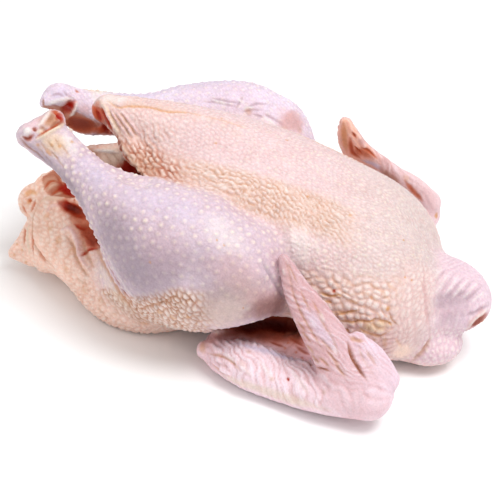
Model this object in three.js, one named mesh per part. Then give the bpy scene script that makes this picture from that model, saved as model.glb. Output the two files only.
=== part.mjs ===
// A whole raw chicken, plucked and drawn, lying on its back.
// +X runs from tail to neck, +Y to the bird's right side, +Z up through the breast. Millimetres.
//
// The bird is one distance field: flesh forms (ellipsoids, round cones and swept limbs) are
// blended into each other, the body cavity and the furrows are blended out, and the field's
// zero surface is meshed on a grid, thinned to a face budget and centred on its own footprint.
import * as THREE from 'three';

// ---------- driving dimensions ----------
const KEEL_HEIGHT = 106;            // tip of the breastbone above the table
const KEEL_TIP_X = -87;             // where the breastbone's rear tip hangs over the vent
const BREAST_LENGTH = 140;
const BREAST_HALF_WIDTH = 54;
const BACK_HALF_WIDTH = 56;
const CAVITY_DEPTH = 90;            // from the vent into the body
const CAVITY_MOUTH_RADIUS = 23;
const CAVITY_END_RADIUS = 20;
const HOCK_RADIUS = 12;
const SHANK_RADIUS = 10;
const DRUMSTICK_HALF_WIDTH = 34;    // at the calf's fullest
const DRUMSTICK_HALF_DEPTH = 28;
const WING_TIP_RADIUS = 3;
const FOREARM_RADIUS = 14;

const GRID_STEP = 3.0;              // the meshing grid's cell
const GRID_LOW = [-147.5, -112.5, -4.5];
const GRID_HIGH = [141, 119, 118.5];
const FACE_BUDGET = 11800;          // triangles kept
const LIMB_STEPS = 4;               // sweep steps between two stations
const LIMB_REACH = 16;              // beyond this a limb's box distance is good enough
const TABLE_EDGE = 1.5;             // rounding where the flesh meets the table
const SHAPE_WEIGHT = 0.002;         // how much short edges are preferred when thinning

// ---------- vectors ----------
const add = (a, b, s = 1) => [a[0] + b[0] * s, a[1] + b[1] * s, a[2] + b[2] * s];
const sub = (a, b) => add(a, b, -1);
const dot = (a, b) => a[0] * b[0] + a[1] * b[1] + a[2] * b[2];
const cross = (a, b) => [
  a[1] * b[2] - a[2] * b[1],
  a[2] * b[0] - a[0] * b[2],
  a[0] * b[1] - a[1] * b[0],
];
const unit = (a) => {
  const l = Math.sqrt(dot(a, a));
  return [a[0] / l, a[1] / l, a[2] / l];
};
const mix = (a, b, t) => a + (b - a) * t;
const clamp01 = (t) => Math.min(1, Math.max(0, t));

// ---------- distance fields ----------
// Blends: union and carving with a fillet of size k.
function join(a, b, k) {
  const h = clamp01(0.5 + (0.5 * (b - a)) / k);
  return mix(b, a, h) - k * h * (1 - h);
}
const carve = (a, b, k) => -join(-a, b, k);

// Distance to an ellipsoid with half axes r; pitch tips its long axis down towards +X.
function ellipsoid(center, r, pitch = 0, yaw = 0) {
  const ax = unit([1, yaw, -pitch]);
  const az = unit(sub([0, 0, 1], ax.map((v) => v * ax[2])));
  const ay = cross(az, ax);
  return (p) => {
    const q = sub(p, center);
    const x = dot(q, ax) / r[0];
    const y = dot(q, ay) / r[1];
    const z = dot(q, az) / r[2];
    const k0 = Math.sqrt(x * x + y * y + z * z);
    const k1 = Math.hypot(x / r[0], y / r[1], z / r[2]) + 1e-6;
    return (k0 * (k0 - 1)) / k1;
  };
}

// Exact distance to a cone with round ends.
function roundCone(a, b, r1, r2) {
  const ba = sub(b, a);
  const l2 = dot(ba, ba);
  const rr = r1 - r2;
  const a2 = l2 - rr * rr;
  return (p) => {
    const pa = sub(p, a);
    const y = dot(pa, ba);
    const z = y - l2;
    const side = add(pa.map((v) => v * l2), ba, -y);
    const x2 = dot(side, side);
    const y2 = y * y * l2;
    const z2 = z * z * l2;
    const k = Math.sign(rr) * rr * rr * x2;
    if (Math.sign(z) * a2 * z2 > k) return Math.sqrt(x2 + z2) / l2 - r2;
    if (Math.sign(y) * a2 * y2 < k) return Math.sqrt(x2 + y2) / l2 - r1;
    return (Math.sqrt((x2 * a2) / l2) + y * rr) / l2 - r1;
  };
}

// A limb swept along a Catmull-Rom curve through its stations.
// A station is [x, y, z, half width, half thickness]; flat is the direction of the thin side.
function limb(stations, flat) {
  const ring = smoothStations(stations);
  const frames = ring.map((s, i) => {
    const before = ring[Math.max(0, i - 1)];
    const after = ring[Math.min(ring.length - 1, i + 1)];
    const along = unit(sub(after, before));
    const thin = unit(add(flat, along, -dot(flat, along)));
    return { along, thin };
  });
  const reach = Math.max(...ring.map((s) => Math.max(s[3], s[4])));
  const low = [0, 1, 2].map((i) => Math.min(...ring.map((s) => s[i])) - reach);
  const high = [0, 1, 2].map((i) => Math.max(...ring.map((s) => s[i])) + reach);
  return (p) => {
    const out = [0, 1, 2].map((i) => Math.max(low[i] - p[i], p[i] - high[i], 0));
    const box = Math.sqrt(dot(out, out));
    if (box > LIMB_REACH) return box + 1;
    let best = Infinity;
    let at = 0;
    let t = 0;
    for (let i = 0; i + 1 < ring.length; i++) {
      const span = sub(ring[i + 1], ring[i]);
      const q = sub(p, ring[i]);
      const s = clamp01(dot(q, span) / dot(span, span));
      const off = add(q, span, -s);
      const d = dot(off, off);
      if (d < best) {
        best = d;
        at = i;
        t = s;
      }
    }
    const a = ring[at];
    const b = ring[at + 1];
    const core = [0, 1, 2].map((i) => mix(a[i], b[i], t));
    const q = sub(p, core);
    const along = unit([0, 1, 2].map((i) => mix(frames[at].along[i], frames[at + 1].along[i], t)));
    const thin = [0, 1, 2].map((i) => mix(frames[at].thin[i], frames[at + 1].thin[i], t));
    const w = mix(a[3], b[3], t);
    const h = mix(a[4], b[4], t);
    const cap = Math.min(w, h);
    const qa = dot(q, along);
    const qn = dot(q, thin);
    const qm = Math.sqrt(Math.max(dot(q, q) - qa * qa - qn * qn, 0));
    const k0 = Math.hypot(qa / cap, qm / w, qn / h);
    if (k0 < 0.25) return -0.9 * cap;
    const k1 = Math.hypot(qa / cap ** 2, qm / w ** 2, qn / h ** 2) + 1e-6;
    return (k0 * (k0 - 1)) / k1;
  };
}

function smoothStations(stations) {
  const first = stations[0].map((v, i) => 2 * v - stations[1][i]);
  const n = stations.length;
  const last = stations[n - 1].map((v, i) => 2 * v - stations[n - 2][i]);
  const s = [first, ...stations, last];
  const out = [];
  for (let i = 1; i < n; i++) {
    for (let j = 0; j < LIMB_STEPS; j++) {
      const t = j / LIMB_STEPS;
      out.push(s[i].map((v, c) => {
        const [p0, p1, p2, p3] = [s[i - 1][c], v, s[i + 1][c], s[i + 2][c]];
        const quad = 2 * p0 - 5 * p1 + 4 * p2 - p3;
        const cube = 3 * p1 - p0 - 3 * p2 + p3;
        return 0.5 * (2 * p1 + (p2 - p0) * t + quad * t * t + cube * t * t * t);
      }));
    }
  }
  out.push(stations[n - 1]);
  return out;
}

// ---------- the bird ----------
// Both halves of the trunk are alike, so its forms are read with |y|, softened over the keel.
// The breastbone's ridge lies a little to the right and is read as it is.
function torso() {
  const forms = [
    [ellipsoid([22, 18, 46], [BREAST_LENGTH / 2, BREAST_HALF_WIDTH - 18, 41], 0.24), 0],
    [ellipsoid([58, 18, 38], [36, 37, 31]), 18],                         // over the wishbone
    [ellipsoid([60, 32, 27], [36, 25, 27]), 14],                         // shoulder
    [ellipsoid([-22, 17, 50], [60, 34, 44], 0.14), 16],                  // flank
  ];
  const keel = limb(KEEL, [0, 0, 1]);
  const back = ellipsoid([12, 0, 28], [88, BACK_HALF_WIDTH, 32]);
  return (p) => {
    const q = [p[0], Math.sqrt(p[1] * p[1] + 16), p[2]];
    const sides = forms.reduce((d, [form, k]) => (k ? join(d, form(q), k) : form(q)), 0);
    return join(join(sides, keel(p), 12), back(q), 18);
  };
}
const KEEL = [
  [KEEL_TIP_X, 4, KEEL_HEIGHT - 10, 9, 10],
  [-64, 4, 93, 15, 14],
  [-34, 5, 86, 21, 20],
  [-4, 5, 76, 25, 23],
  [26, 5, 65, 26, 26],
  [52, 4, 52, 27, 30],
];

// Hip and pelvis lying on the table, with the rim of skin that runs round the vent and the slit
// where that skin hangs loose on the left.
function rump() {
  const hip = ellipsoid([-66, -3, 25], [50, 50, 29], 0.06);
  const root = ellipsoid([-92, -4, 30], [28, 27, 26]);
  const fold = ellipsoid([-54, -30, 14], [35, 30, 20]);
  const rimRight = limb([[-62, 38, 60, 12, 10], [-82, 28, 58, 8, 7.5], [-102, 21, 55, 7.5, 7],
    [-115, 6, 46, 7, 7]], [0, 1, 0.2]);
  const rimLeft = limb([[-62, -34, 60, 12, 10], [-82, -27, 55, 8, 7], [-100, -14, 48, 7, 7],
    [-112, -2, 42, 7, 7]], [0, 1, 0.2]);
  const slit = limb([[-106, -20, 50, 3, 3], [-97, -27, 53, 5, 5], [-86, -33, 51, 4, 5]], [0, 0, 1]);
  return (p) => {
    const hips = join(join(hip(p), root(p), 12), fold(p), 8);
    return carve(join(join(hips, rimRight(p), 6), rimLeft(p), 6), slit(p), 2);
  };
}

// A thin three-cornered flap of skin.
function flap([a, b, c], thick) {
  const sides = [[a, b], [b, c], [c, a]].map(([from, to]) => ({ from, along: sub(to, from) }));
  const face = cross(sides[0].along, sub(a, c));
  return (p) => {
    let outside = 0;
    let edge = Infinity;
    for (const { from, along } of sides) {
      const q = sub(p, from);
      outside += Math.sign(dot(q, cross(along, face)));
      const off = add(q, along, -clamp01(dot(q, along) / dot(along, along)));
      edge = Math.min(edge, dot(off, off));
    }
    const over = dot(sub(p, a), unit(face));
    return Math.sqrt(outside < 2 ? edge : over * over) - thick;
  };
}

// The tail: a stub with an upper lobe, a curl of skin over it and a flap hanging to the table.
function tail() {
  const stub = limb([[-92, -2, 26, 24, 22], [-108, -5, 24, 17, 15], [-116, -6, 20, 11, 11]], [0, 0, 1]);
  const upperLobe = ellipsoid([-124, 4, 34], [9, 9, 10]);
  const curl = limb([[-121, 5, 41, 4, 4], [-115, 6, 50, 5, 5], [-106, 5, 52, 5, 5]], [0, 0, 1]);
  const hanging = flap([[-119, -8, 29], [-129.5, -15, 10.5], [-117, -19, 10]], 3.2);
  const lowerLobe = ellipsoid([-110, -22, 14], [6, 5, 7]);
  return (p) => {
    const top = join(join(stub(p), upperLobe(p), 3), curl(p), 2);
    return join(join(top, hanging(p), 3), lowerLobe(p), 2);
  };
}

function cavity() {
  const vent = [-114, 0, 70];
  const end = [vent[0] + CAVITY_DEPTH, 0, 54];
  const hollow = roundCone(vent, end, CAVITY_MOUTH_RADIUS, CAVITY_END_RADIUS);
  const keelArch = roundCone([-112, 1, 79], [-70, 0, 84], 7, 7);
  const keelPocket = ellipsoid([-97, -5, 90], [11, 8, 13], 0.25);        // skin cut away at the keel's tip
  return (p) => join(join(hollow(p), keelArch(p), 6), keelPocket(p), 2);
}

// A leg runs from its hock end over the shank and calf to the knee; side is -1 left, 1 right.
function leg(stations, side, kneeHeight, knobs) {
  const drumstick = limb(stations, [0, side, 0.3]);
  const thigh = roundCone([0, side * 50, kneeHeight], [-50, side * 34, 30], 24, 30);
  const balls = knobs.map(([x, y, z, r]) => ellipsoid([x, y, z], [r, r, r]));
  return (p) => balls.reduce((d, ball) => join(d, ball(p), 2.5), join(drumstick(p), thigh(p), 16));
}
const LEFT_HOCK_KNOBS = [[-119, -33, 94.5, 6.5], [-109.5, -21, 99, 6]];
const RIGHT_HOCK_KNOBS = [[-121, 13, 90, 5.5], [-117, 24, 91, 6], [-107, 22, 77, 7]];
const LEFT_LEG = [
  [-112, -27, 92, HOCK_RADIUS - 1, HOCK_RADIUS - 1],
  [-105, -29, 89, SHANK_RADIUS + 0.5, SHANK_RADIUS + 0.5],
  [-96, -33, 85, SHANK_RADIUS, SHANK_RADIUS],
  [-84, -39, 79, 11.5, 11.5],
  [-70, -46, 74, 17.5, 17],
  [-58, -50, 69, 24, 22],
  [-42, -54, 61, 31, 27],
  [-24, -57, 55, DRUMSTICK_HALF_WIDTH, DRUMSTICK_HALF_DEPTH],
  [-6, -58, 52, 29, 25],
];
const RIGHT_LEG = [
  [-117, 18, 91, 9, 9],
  [-107, 26, 82, HOCK_RADIUS, HOCK_RADIUS + 0.5],
  [-96, 34, 79, 11.5, 12],
  [-84, 41, 76.5, 12, 12],
  [-70, 48, 72.5, 16.5, 16.5],
  [-56, 53, 71, 22.5, 21.5],
  [-40, 58, 69, 28.5, 25],
  [-22, 60.5, 67.5, DRUMSTICK_HALF_WIDTH - 2, DRUMSTICK_HALF_DEPTH - 1.5],
  [-8, 61, 65, 29, 26],
];

// A wing folds into a Z: upper arm back to the elbow, forearm forward to the wrist, and the
// flat hand back up along the flank with the thumb beside it.
function wing(bones, side) {
  const upperArm = limb(bones.upperArm, [0, 0, 1]);
  const forearm = limb(bones.forearm, [0, 0.4 * side, 1]);
  const hand = limb(bones.hand, [0.5, side, 0.45]);
  const thumb = limb(bones.thumb, [0.3, side, 0.4]);
  return (p) => join(join(join(upperArm(p), forearm(p), 2), hand(p), 3), thumb(p), 1.5);
}
const LEFT_WING = {
  upperArm: [[70, -42, 26, 16, 15], [36, -57, 11, 13, 11], [-4, -62, 8, 11, 10]],
  forearm: [[-12.5, -69, 10.5, 5, 4.5], [-5, -70, 10.5, 9, 7.5], [12, -77, 12, 12.5, 11],
    [32, -82, 11, 12.5, 9], [52, -86, 14, FOREARM_RADIUS, 11], [74, -88, 17, FOREARM_RADIUS, 11.5]],
  hand: [[72, -88, 22, 14, 8], [60, -87, 27, 12.5, 7], [50, -82, 37, 11, 6], [41, -76, 45, 10, 5],
    [29, -69, 57, 7, 4], [20, -64.5, 70, WING_TIP_RADIUS, WING_TIP_RADIUS]],
  thumb: [[80, -86, 24, 8, 6], [71, -82, 33, 8, 5], [62, -77, 39.5, 5, 4]],
};
const RIGHT_WING = {
  upperArm: [[70, 44, 30, 16, 15], [40, 59, 24, 14, 13], [6, 70, 15, 11, 10]],
  forearm: [[0, 73, 12, 9, 8], [26, 82, 14, 12, 11], [62, 89, 16, FOREARM_RADIUS - 1, 11],
    [86, 92, 21, FOREARM_RADIUS, 12]],
  hand: [[86, 91, 28, 13, 9], [74, 87, 38, 12.5, 7], [60, 81, 49, 13, 6], [47, 75, 60, 13, 5],
    [39, 70, 72, 9.5, 4], [34.5, 66.5, 84, 4, WING_TIP_RADIUS]],
  thumb: [[89, 88, 31, 8, 6], [81, 84, 42, 6, 4.5], [74, 80, 50, WING_TIP_RADIUS, WING_TIP_RADIUS]],
};

// The hollow between the upper arm and the flank. On the left the wing stands off the thigh and
// the hollow is deep; on the right the wing lies close.
const ARMPITS = [
  limb([[-18, -77, 21, 2, 2], [-7, -75, 25, 5, 4], [6, -72, 29.5, 9, 7.5], [20, -67, 28, 9, 8],
    [44, -58, 23, 8, 6]], [0, 0, 1]),
  limb([[-6, -66, 23, 4, 4], [12, -60, 25, 8, 6], [40, -52, 23, 8, 6]], [0, 0, 1]),
  limb([[-12, 68, 24, 7, 5], [12, 62, 27, 7, 5], [40, 56, 32, 6, 5]], [0, 0, 1]),
];

// Neck skin folded down in front of the breast, open underneath its upper fold.
function neck() {
  const root = ellipsoid([84, -9, 25], [28, 36, 25]);
  const tube = ellipsoid([104, -9, 33], [25.5, 25, 17], 0.16, -0.12);
  const flapBelow = ellipsoid([97, -24, 13], [21, 20, 12]);
  const opening = ellipsoid([129, -15, 18], [14, 14, 8]);
  return (p) => carve(join(join(root(p), tube(p), 6), flapBelow(p), 5), opening(p), 2);
}

function chicken() {
  const body = [torso(), rump(), neck(), tail()];
  const legs = [leg(LEFT_LEG, -1, 44, LEFT_HOCK_KNOBS), leg(RIGHT_LEG, 1, 50, RIGHT_HOCK_KNOBS)];
  const hollow = cavity();
  const wings = [wing(LEFT_WING, -1), wing(RIGHT_WING, 1)];
  const nearest = (fields, p) => Math.min(...fields.map((f) => f(p)));
  return (p) => {
    let d = join(body[0](p), body[1](p), 12);
    d = join(d, body[2](p), 7);
    d = join(d, body[3](p), 6);
    d = join(d, nearest(legs, p), 5);
    d = carve(d, hollow(p), 3);
    d = carve(d, nearest(ARMPITS, p), 3);
    d = join(d, nearest(wings, p), 2.5);
    return carve(d, p[2], TABLE_EDGE);
  };
}

// ---------- meshing ----------
// Surface nets: one vertex for each sheet of surface that passes through a grid cell, and one
// quad round each grid edge that the surface crosses, split along its shorter diagonal.
// A cell's corners are numbered by bits, x = 1, y = 2, z = 4.
const CELL_EDGES = [0, 1, 2, 3, 4, 5, 6, 7].flatMap((a) => {
  return [1, 2, 4].filter((bit) => !(a & bit)).map((bit) => [a, a | bit]);
});
const CELL_SIDES = [[0, 1, 3, 2], [4, 5, 7, 6], [0, 1, 5, 4], [2, 3, 7, 6], [0, 2, 6, 4], [1, 3, 7, 5]];
const edgeBetween = (a, b) => CELL_EDGES.findIndex(([p, q]) => p === Math.min(a, b) && q === Math.max(a, b));

// The sheets in a cell, as lists of crossed edges. On a side whose corners alternate, the flesh
// is cut apart, which both cells that share the side agree on.
function sheetsIn(v) {
  const sheet = CELL_EDGES.map(([a, b], n) => (v[a] < 0 !== v[b] < 0 ? n : -1));
  const link = (m, n) => {
    const [from, to] = [sheet[m], sheet[n]];
    sheet.forEach((s, i) => (sheet[i] = s === from ? to : s));
  };
  for (const side of CELL_SIDES) {
    const round = side.map((corner, i) => edgeBetween(corner, side[(i + 1) % 4]));
    const crossed = round.filter((n) => sheet[n] >= 0);
    if (crossed.length === 2) link(...crossed);
    if (crossed.length === 4) {
      side.forEach((corner, i) => v[corner] < 0 && link(round[i], round[(i + 3) % 4]));
    }
  }
  return [...new Set(sheet.filter((s) => s >= 0))].map((s) => {
    return CELL_EDGES.map((_, n) => n).filter((n) => sheet[n] === s);
  });
}

function surfaceNet(field) {
  const size = [0, 1, 2].map((i) => Math.ceil((GRID_HIGH[i] - GRID_LOW[i]) / GRID_STEP));
  const place = (i, j, k) => [i, j, k].map((n, c) => GRID_LOW[c] + n * GRID_STEP);
  const slot = (i, j, k) => (i * size[1] + j) * size[2] + k;
  const values = new Float64Array(size[0] * size[1] * size[2]);
  for (let i = 0; i < size[0]; i++) {
    for (let j = 0; j < size[1]; j++) {
      for (let k = 0; k < size[2]; k++) values[slot(i, j, k)] = field(place(i, j, k));
    }
  }
  const corners = [0, 1, 2, 3, 4, 5, 6, 7].map((n) => [n & 1, (n >> 1) & 1, (n >> 2) & 1]);
  const points = [];
  const vertexOf = new Map();
  for (let i = 0; i + 1 < size[0]; i++) {
    for (let j = 0; j + 1 < size[1]; j++) {
      for (let k = 0; k + 1 < size[2]; k++) {
        const v = corners.map(([x, y, z]) => values[slot(i + x, j + y, k + z)]);
        if (v.every((value) => value < 0) || v.every((value) => value >= 0)) continue;
        for (const sheet of sheetsIn(v)) {
          let sum = [0, 0, 0];
          for (const [a, b] of sheet.map((n) => CELL_EDGES[n])) {
            const t = v[a] / (v[a] - v[b]);
            sum = add(sum, corners[a].map((c, n) => mix(c, corners[b][n], t)));
          }
          const middle = sum.map((c) => (c / sheet.length) * GRID_STEP);
          sheet.forEach((n) => vertexOf.set(slot(i, j, k) * 12 + n, points.length));
          points.push(onSurface(field, add(place(i, j, k), middle)));
        }
      }
    }
  }
  const faces = [];
  const ahead = [slot(1, 0, 0), slot(0, 1, 0), slot(0, 0, 1)];
  const inside = (n) => values[n] < 0;
  for (let n = 0; n < values.length; n++) {
    for (let c = 0; c < 3; c++) {
      if (n + ahead[c] >= values.length || inside(n) === inside(n + ahead[c])) continue;
      const [u, w] = [(c + 1) % 3, (c + 2) % 3];
      const quad = [[1, 1], [0, 1], [0, 0], [1, 0]].map(([du, dw]) => {
        const corner = (du << u) | (dw << w);
        const edge = edgeBetween(corner, corner | (1 << c));
        return vertexOf.get((n - du * ahead[u] - dw * ahead[w]) * 12 + edge);
      });
      if (!inside(n)) quad.reverse();
      const [a, b, e, f] = quad;
      const length = (x, y) => Math.hypot(...sub(points[x], points[y]));
      if (length(a, e) < length(b, f)) faces.push([a, b, e], [a, e, f]);
      else faces.push([a, b, f], [b, e, f]);
    }
  }
  return { points, faces };
}

// Newton steps onto the zero surface; flesh on the table stays flat.
function onSurface(field, start) {
  const h = 0.2;
  let p = start;
  for (let step = 0; step < 3; step++) {
    const grade = [0, 1, 2].map((c) => {
      const up = p.map((v, n) => (n === c ? v + h : v));
      const down = p.map((v, n) => (n === c ? v - h : v));
      return (field(up) - field(down)) / (2 * h);
    });
    const move = field(p) / (dot(grade, grade) + 1e-3);
    const cap = GRID_STEP / 4;
    p = add(p, grade, -Math.min(cap, Math.max(-cap, move)));
  }
  return p[2] < 0.05 ? [p[0], p[1], 0] : p;
}

// ---------- thinning ----------
// Edge collapse by quadric error: the edge whose loss moves the surface least goes first.
// A collapse that would pinch the surface, fold it or leave a sliver is passed over.
function thinned({ points, faces }, budget) {
  const quadrics = points.map(() => new Float64Array(10));
  const around = points.map(() => new Set());
  const stamp = new Uint32Array(points.length);
  const normalOf = (a, b, c) => cross(sub(b, a), sub(c, a));
  faces.forEach((face, n) => {
    const [a, b, c] = face.map((v) => points[v]);
    const normal = normalOf(a, b, c);
    const area = Math.sqrt(dot(normal, normal)) / 2;
    const [x, y, z] = unit(normal);
    const d = -dot([x, y, z], a);
    const terms = [x * x, x * y, x * z, x * d, y * y, y * z, y * d, z * z, z * d, d * d];
    for (const v of face) {
      terms.forEach((term, i) => (quadrics[v][i] += term * area));
      around[v].add(n);
    }
  });
  const errorAt = (q, [x, y, z]) => q[0] * x * x + q[4] * y * y + q[7] * z * z + q[9]
    + 2 * (q[1] * x * y + q[2] * x * z + q[3] * x + q[5] * y * z + q[6] * y + q[8] * z);
  const neighbours = (v) => {
    const out = new Set();
    for (const n of around[v]) for (const w of faces[n]) if (w !== v) out.add(w);
    return out;
  };
  const candidate = (a, b) => {
    const q = quadrics[a].map((v, i) => v + quadrics[b][i]);
    const [pa, pb] = [points[a], points[b]];
    const middle = add(pa, sub(pb, pa), 0.5);
    const spots = [pa, pb, middle];
    const best = bestSpot(q);
    const span = Math.hypot(...sub(pb, pa));
    if (best && Math.hypot(...sub(best, middle)) < span) spots.push(best);
    const onTable = [pa, pb].some((p) => p[2] === 0);
    const usable = spots.map((p) => (onTable ? [p[0], p[1], 0] : p));
    const costs = usable.map((p) => errorAt(q, p) + SHAPE_WEIGHT * span * span);
    const pick = costs.indexOf(Math.min(...costs));
    return { cost: costs[pick], a, b, spot: usable[pick], at: stamp[a] + stamp[b] };
  };
  const heap = makeHeap();
  const seed = (v) => neighbours(v).forEach((w) => heap.push(candidate(v, w)));
  points.forEach((_, v) => neighbours(v).forEach((w) => v < w && heap.push(candidate(v, w))));
  let left = faces.length;
  while (left > budget) {
    const { a, b, spot, at } = heap.pop();
    if (at !== stamp[a] + stamp[b] || !around[a].size || !around[b].size) continue;
    const far = neighbours(b);
    const shared = [...neighbours(a)].filter((v) => far.has(v));
    if (shared.length !== 2) continue;
    const kept = [...around[a], ...around[b]].filter((n) => {
      return !(faces[n].includes(a) && faces[n].includes(b));
    });
    const sound = kept.every((n) => {
      const old = faces[n].map((v) => points[v]);
      const now = faces[n].map((v) => (v === a || v === b ? spot : points[v]));
      const [before, after] = [normalOf(...old), normalOf(...now)];
      const area = Math.hypot(...after);
      const longest = Math.max(...now.map((p, i) => Math.hypot(...sub(p, now[(i + 1) % 3]))));
      return dot(before, after) > 0.3 * Math.hypot(...before) * area && area > 0.12 * longest ** 2;
    });
    if (!sound) continue;
    points[a] = spot;
    quadrics[a].forEach((_, i) => (quadrics[a][i] += quadrics[b][i]));
    for (const n of around[b]) {
      if (faces[n].includes(a)) {
        faces[n].forEach((v) => around[v].delete(n));
        faces[n] = [];
        left -= 1;
      } else {
        faces[n] = faces[n].map((v) => (v === b ? a : v));
        around[a].add(n);
      }
    }
    around[b].clear();
    stamp[b] += 1;
    stamp[a] += 1;
    seed(a);
  }
  return { points, faces: faces.filter((f) => f.length) };
}

// The point where a quadric's error is least, or null where the surface is too flat to say.
function bestSpot(q) {
  const rows = [[q[0], q[1], q[2]], [q[1], q[4], q[5]], [q[2], q[5], q[7]]];
  const right = [-q[3], -q[6], -q[8]];
  const det = dot(rows[0], cross(rows[1], rows[2]));
  if (Math.abs(det) < 1e-3 * (q[0] + q[4] + q[7]) ** 3) return null;
  const columns = [0, 1, 2].map((c) => rows.map((row) => row[c]));
  return [0, 1, 2].map((c) => {
    const swapped = columns.map((column, n) => (n === c ? right : column));
    return dot(swapped[0], cross(swapped[1], swapped[2])) / det;
  });
}

function makeHeap() {
  const items = [];
  const swap = (i, j) => ([items[i], items[j]] = [items[j], items[i]]);
  return {
    push(item) {
      let i = items.push(item) - 1;
      while (i > 0 && items[(i - 1) >> 1].cost > items[i].cost) {
        swap(i, (i - 1) >> 1);
        i = (i - 1) >> 1;
      }
    },
    pop() {
      const top = items[0];
      const last = items.pop();
      if (items.length) items[0] = last;
      let i = 0;
      for (;;) {
        let least = i;
        for (const child of [2 * i + 1, 2 * i + 2]) {
          if (child < items.length && items[child].cost < items[least].cost) least = child;
        }
        if (least === i) return top;
        swap(i, least);
        i = least;
      }
    },
  };
}

// ---------- the part ----------
function solid(field) {
  const { points, faces } = thinned(surfaceNet(field), FACE_BUDGET);
  const used = [...new Set(faces.flat())];
  const order = new Map(used.map((v, n) => [v, n]));
  const geometry = new THREE.BufferGeometry();
  const corners = used.flatMap((v) => points[v]);
  geometry.setAttribute('position', new THREE.Float32BufferAttribute(corners, 3));
  geometry.setIndex(faces.flat().map((v) => order.get(v)));
  geometry.computeBoundingBox();
  const { min, max } = geometry.boundingBox;
  geometry.translate(-(min.x + max.x) / 2, -(min.y + max.y) / 2, -min.z);
  geometry.computeVertexNormals();
  return geometry;
}

const skin = new THREE.MeshStandardMaterial({ color: 0xf2dccf, roughness: 0.5, metalness: 0 });
const bird = new THREE.Mesh(solid(chicken()), skin);
bird.name = 'chicken';
const group = new THREE.Group();
group.add(bird);
export default group;
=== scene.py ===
import math
import bpy
import numpy as np
from mathutils import Matrix, Vector
from mathutils.bvhtree import BVHTree
from mathutils.kdtree import KDTree


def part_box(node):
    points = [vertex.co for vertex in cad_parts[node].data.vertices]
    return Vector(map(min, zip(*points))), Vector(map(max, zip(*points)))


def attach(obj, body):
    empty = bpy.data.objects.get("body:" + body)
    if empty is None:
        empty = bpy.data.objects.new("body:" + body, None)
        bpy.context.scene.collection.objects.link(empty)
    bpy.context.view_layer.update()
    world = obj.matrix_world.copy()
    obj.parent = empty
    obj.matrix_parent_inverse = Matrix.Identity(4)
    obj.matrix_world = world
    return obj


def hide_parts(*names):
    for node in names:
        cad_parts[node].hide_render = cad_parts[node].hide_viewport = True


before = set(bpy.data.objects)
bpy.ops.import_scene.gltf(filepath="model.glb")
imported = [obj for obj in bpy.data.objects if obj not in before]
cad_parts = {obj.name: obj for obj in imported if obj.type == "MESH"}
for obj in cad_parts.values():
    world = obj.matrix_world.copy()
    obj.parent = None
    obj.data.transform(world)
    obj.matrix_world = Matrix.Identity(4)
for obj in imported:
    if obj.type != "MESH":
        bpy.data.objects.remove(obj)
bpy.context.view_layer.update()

# The bird is sculpted in millimetres as one distance field, with the same named sizes as the CAD
# solid, meshed finely, then given its skin relief along the normals. +X tail to neck, +Y the
# bird's right, +Z up through the breast.

# ---------- sizes of the flesh forms (mm) ----------
KEEL_HEIGHT = 106
KEEL_TIP_X = -87
BREAST_LENGTH = 140
BREAST_HALF_WIDTH = 54
BACK_HALF_WIDTH = 56
CREST_ROUND = 4                       # rounds off where the trunk's two halves meet
CAVITY_MOUTH_X = -114
CAVITY_DEPTH = 90
CAVITY_MOUTH_RADIUS = 23
CAVITY_END_RADIUS = 20
HOCK_RADIUS = 12
SHANK_RADIUS = 10
DRUMSTICK_HALF_WIDTH = 34
DRUMSTICK_HALF_DEPTH = 28
WING_TIP_RADIUS = 3
FOREARM_RADIUS = 14
FLAP_THICKNESS = 3.2
TABLE_EDGE = 1.5
UP = (0, 0, 1)

GRID_LOW = (-150, -116, -6)
GRID_HIGH = (146, 122, 120)
CELL = 1.5     # meshing cell; one Catmull-Clark step halves it
BLOCK = 6                             # cells along a block of the sparse grid
LIMB_STEPS = 4                        # stretches between two stations of a limb
LIMB_REACH = 16.0                     # a limb's distance is only rough further off than this
GRADE_STEP = 0.4                      # for the slope of the distance field
POINTS_AT_ONCE = 400000


# ---------- distance fields ----------
def smooth_min(a, b, k):
    h = np.clip(0.5 + 0.5 * (b - a) / k, 0, 1)
    return b + (a - b) * h - k * h * (1 - h)


def smooth_max(a, b, k):
    return -smooth_min(-a, -b, k)


def vec(*a):
    return np.array(a, np.float32)


def ellipsoid(p, center, r, pitch=0.0, yaw=0.0):
    ax = vec(1, yaw, -pitch)
    ax /= np.linalg.norm(ax)
    az = vec(0, 0, 1) - ax * ax[2]
    az /= np.linalg.norm(az)
    turn = np.array([ax, np.cross(az, ax), az], np.float32)
    q = (p - vec(*center)) @ turn.T
    r = vec(*r)
    k0 = np.sqrt(((q / r) ** 2).sum(-1))
    k1 = np.sqrt(((q / (r * r)) ** 2).sum(-1)) + 1e-6
    return k0 * (k0 - 1) / k1


def round_cone(p, a, b, r1, r2):
    a, b = vec(*a), vec(*b)
    ba = b - a
    l2 = float(ba @ ba)
    rr = r1 - r2
    a2 = l2 - rr * rr
    pa = p - a
    y = pa @ ba
    z = y - l2
    x2 = ((pa * l2 - y[..., None] * ba) ** 2).sum(-1)
    y2 = y * y * l2
    z2 = z * z * l2
    k = np.sign(rr) * rr * rr * x2
    d = (np.sqrt(x2 * a2 / l2) + y * rr) / l2 - r1
    d = np.where(np.sign(y) * a2 * y2 < k, np.sqrt(x2 + y2) / l2 - r1, d)
    return np.where(np.sign(z) * a2 * z2 > k, np.sqrt(x2 + z2) / l2 - r2, d).astype(np.float32)


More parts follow.
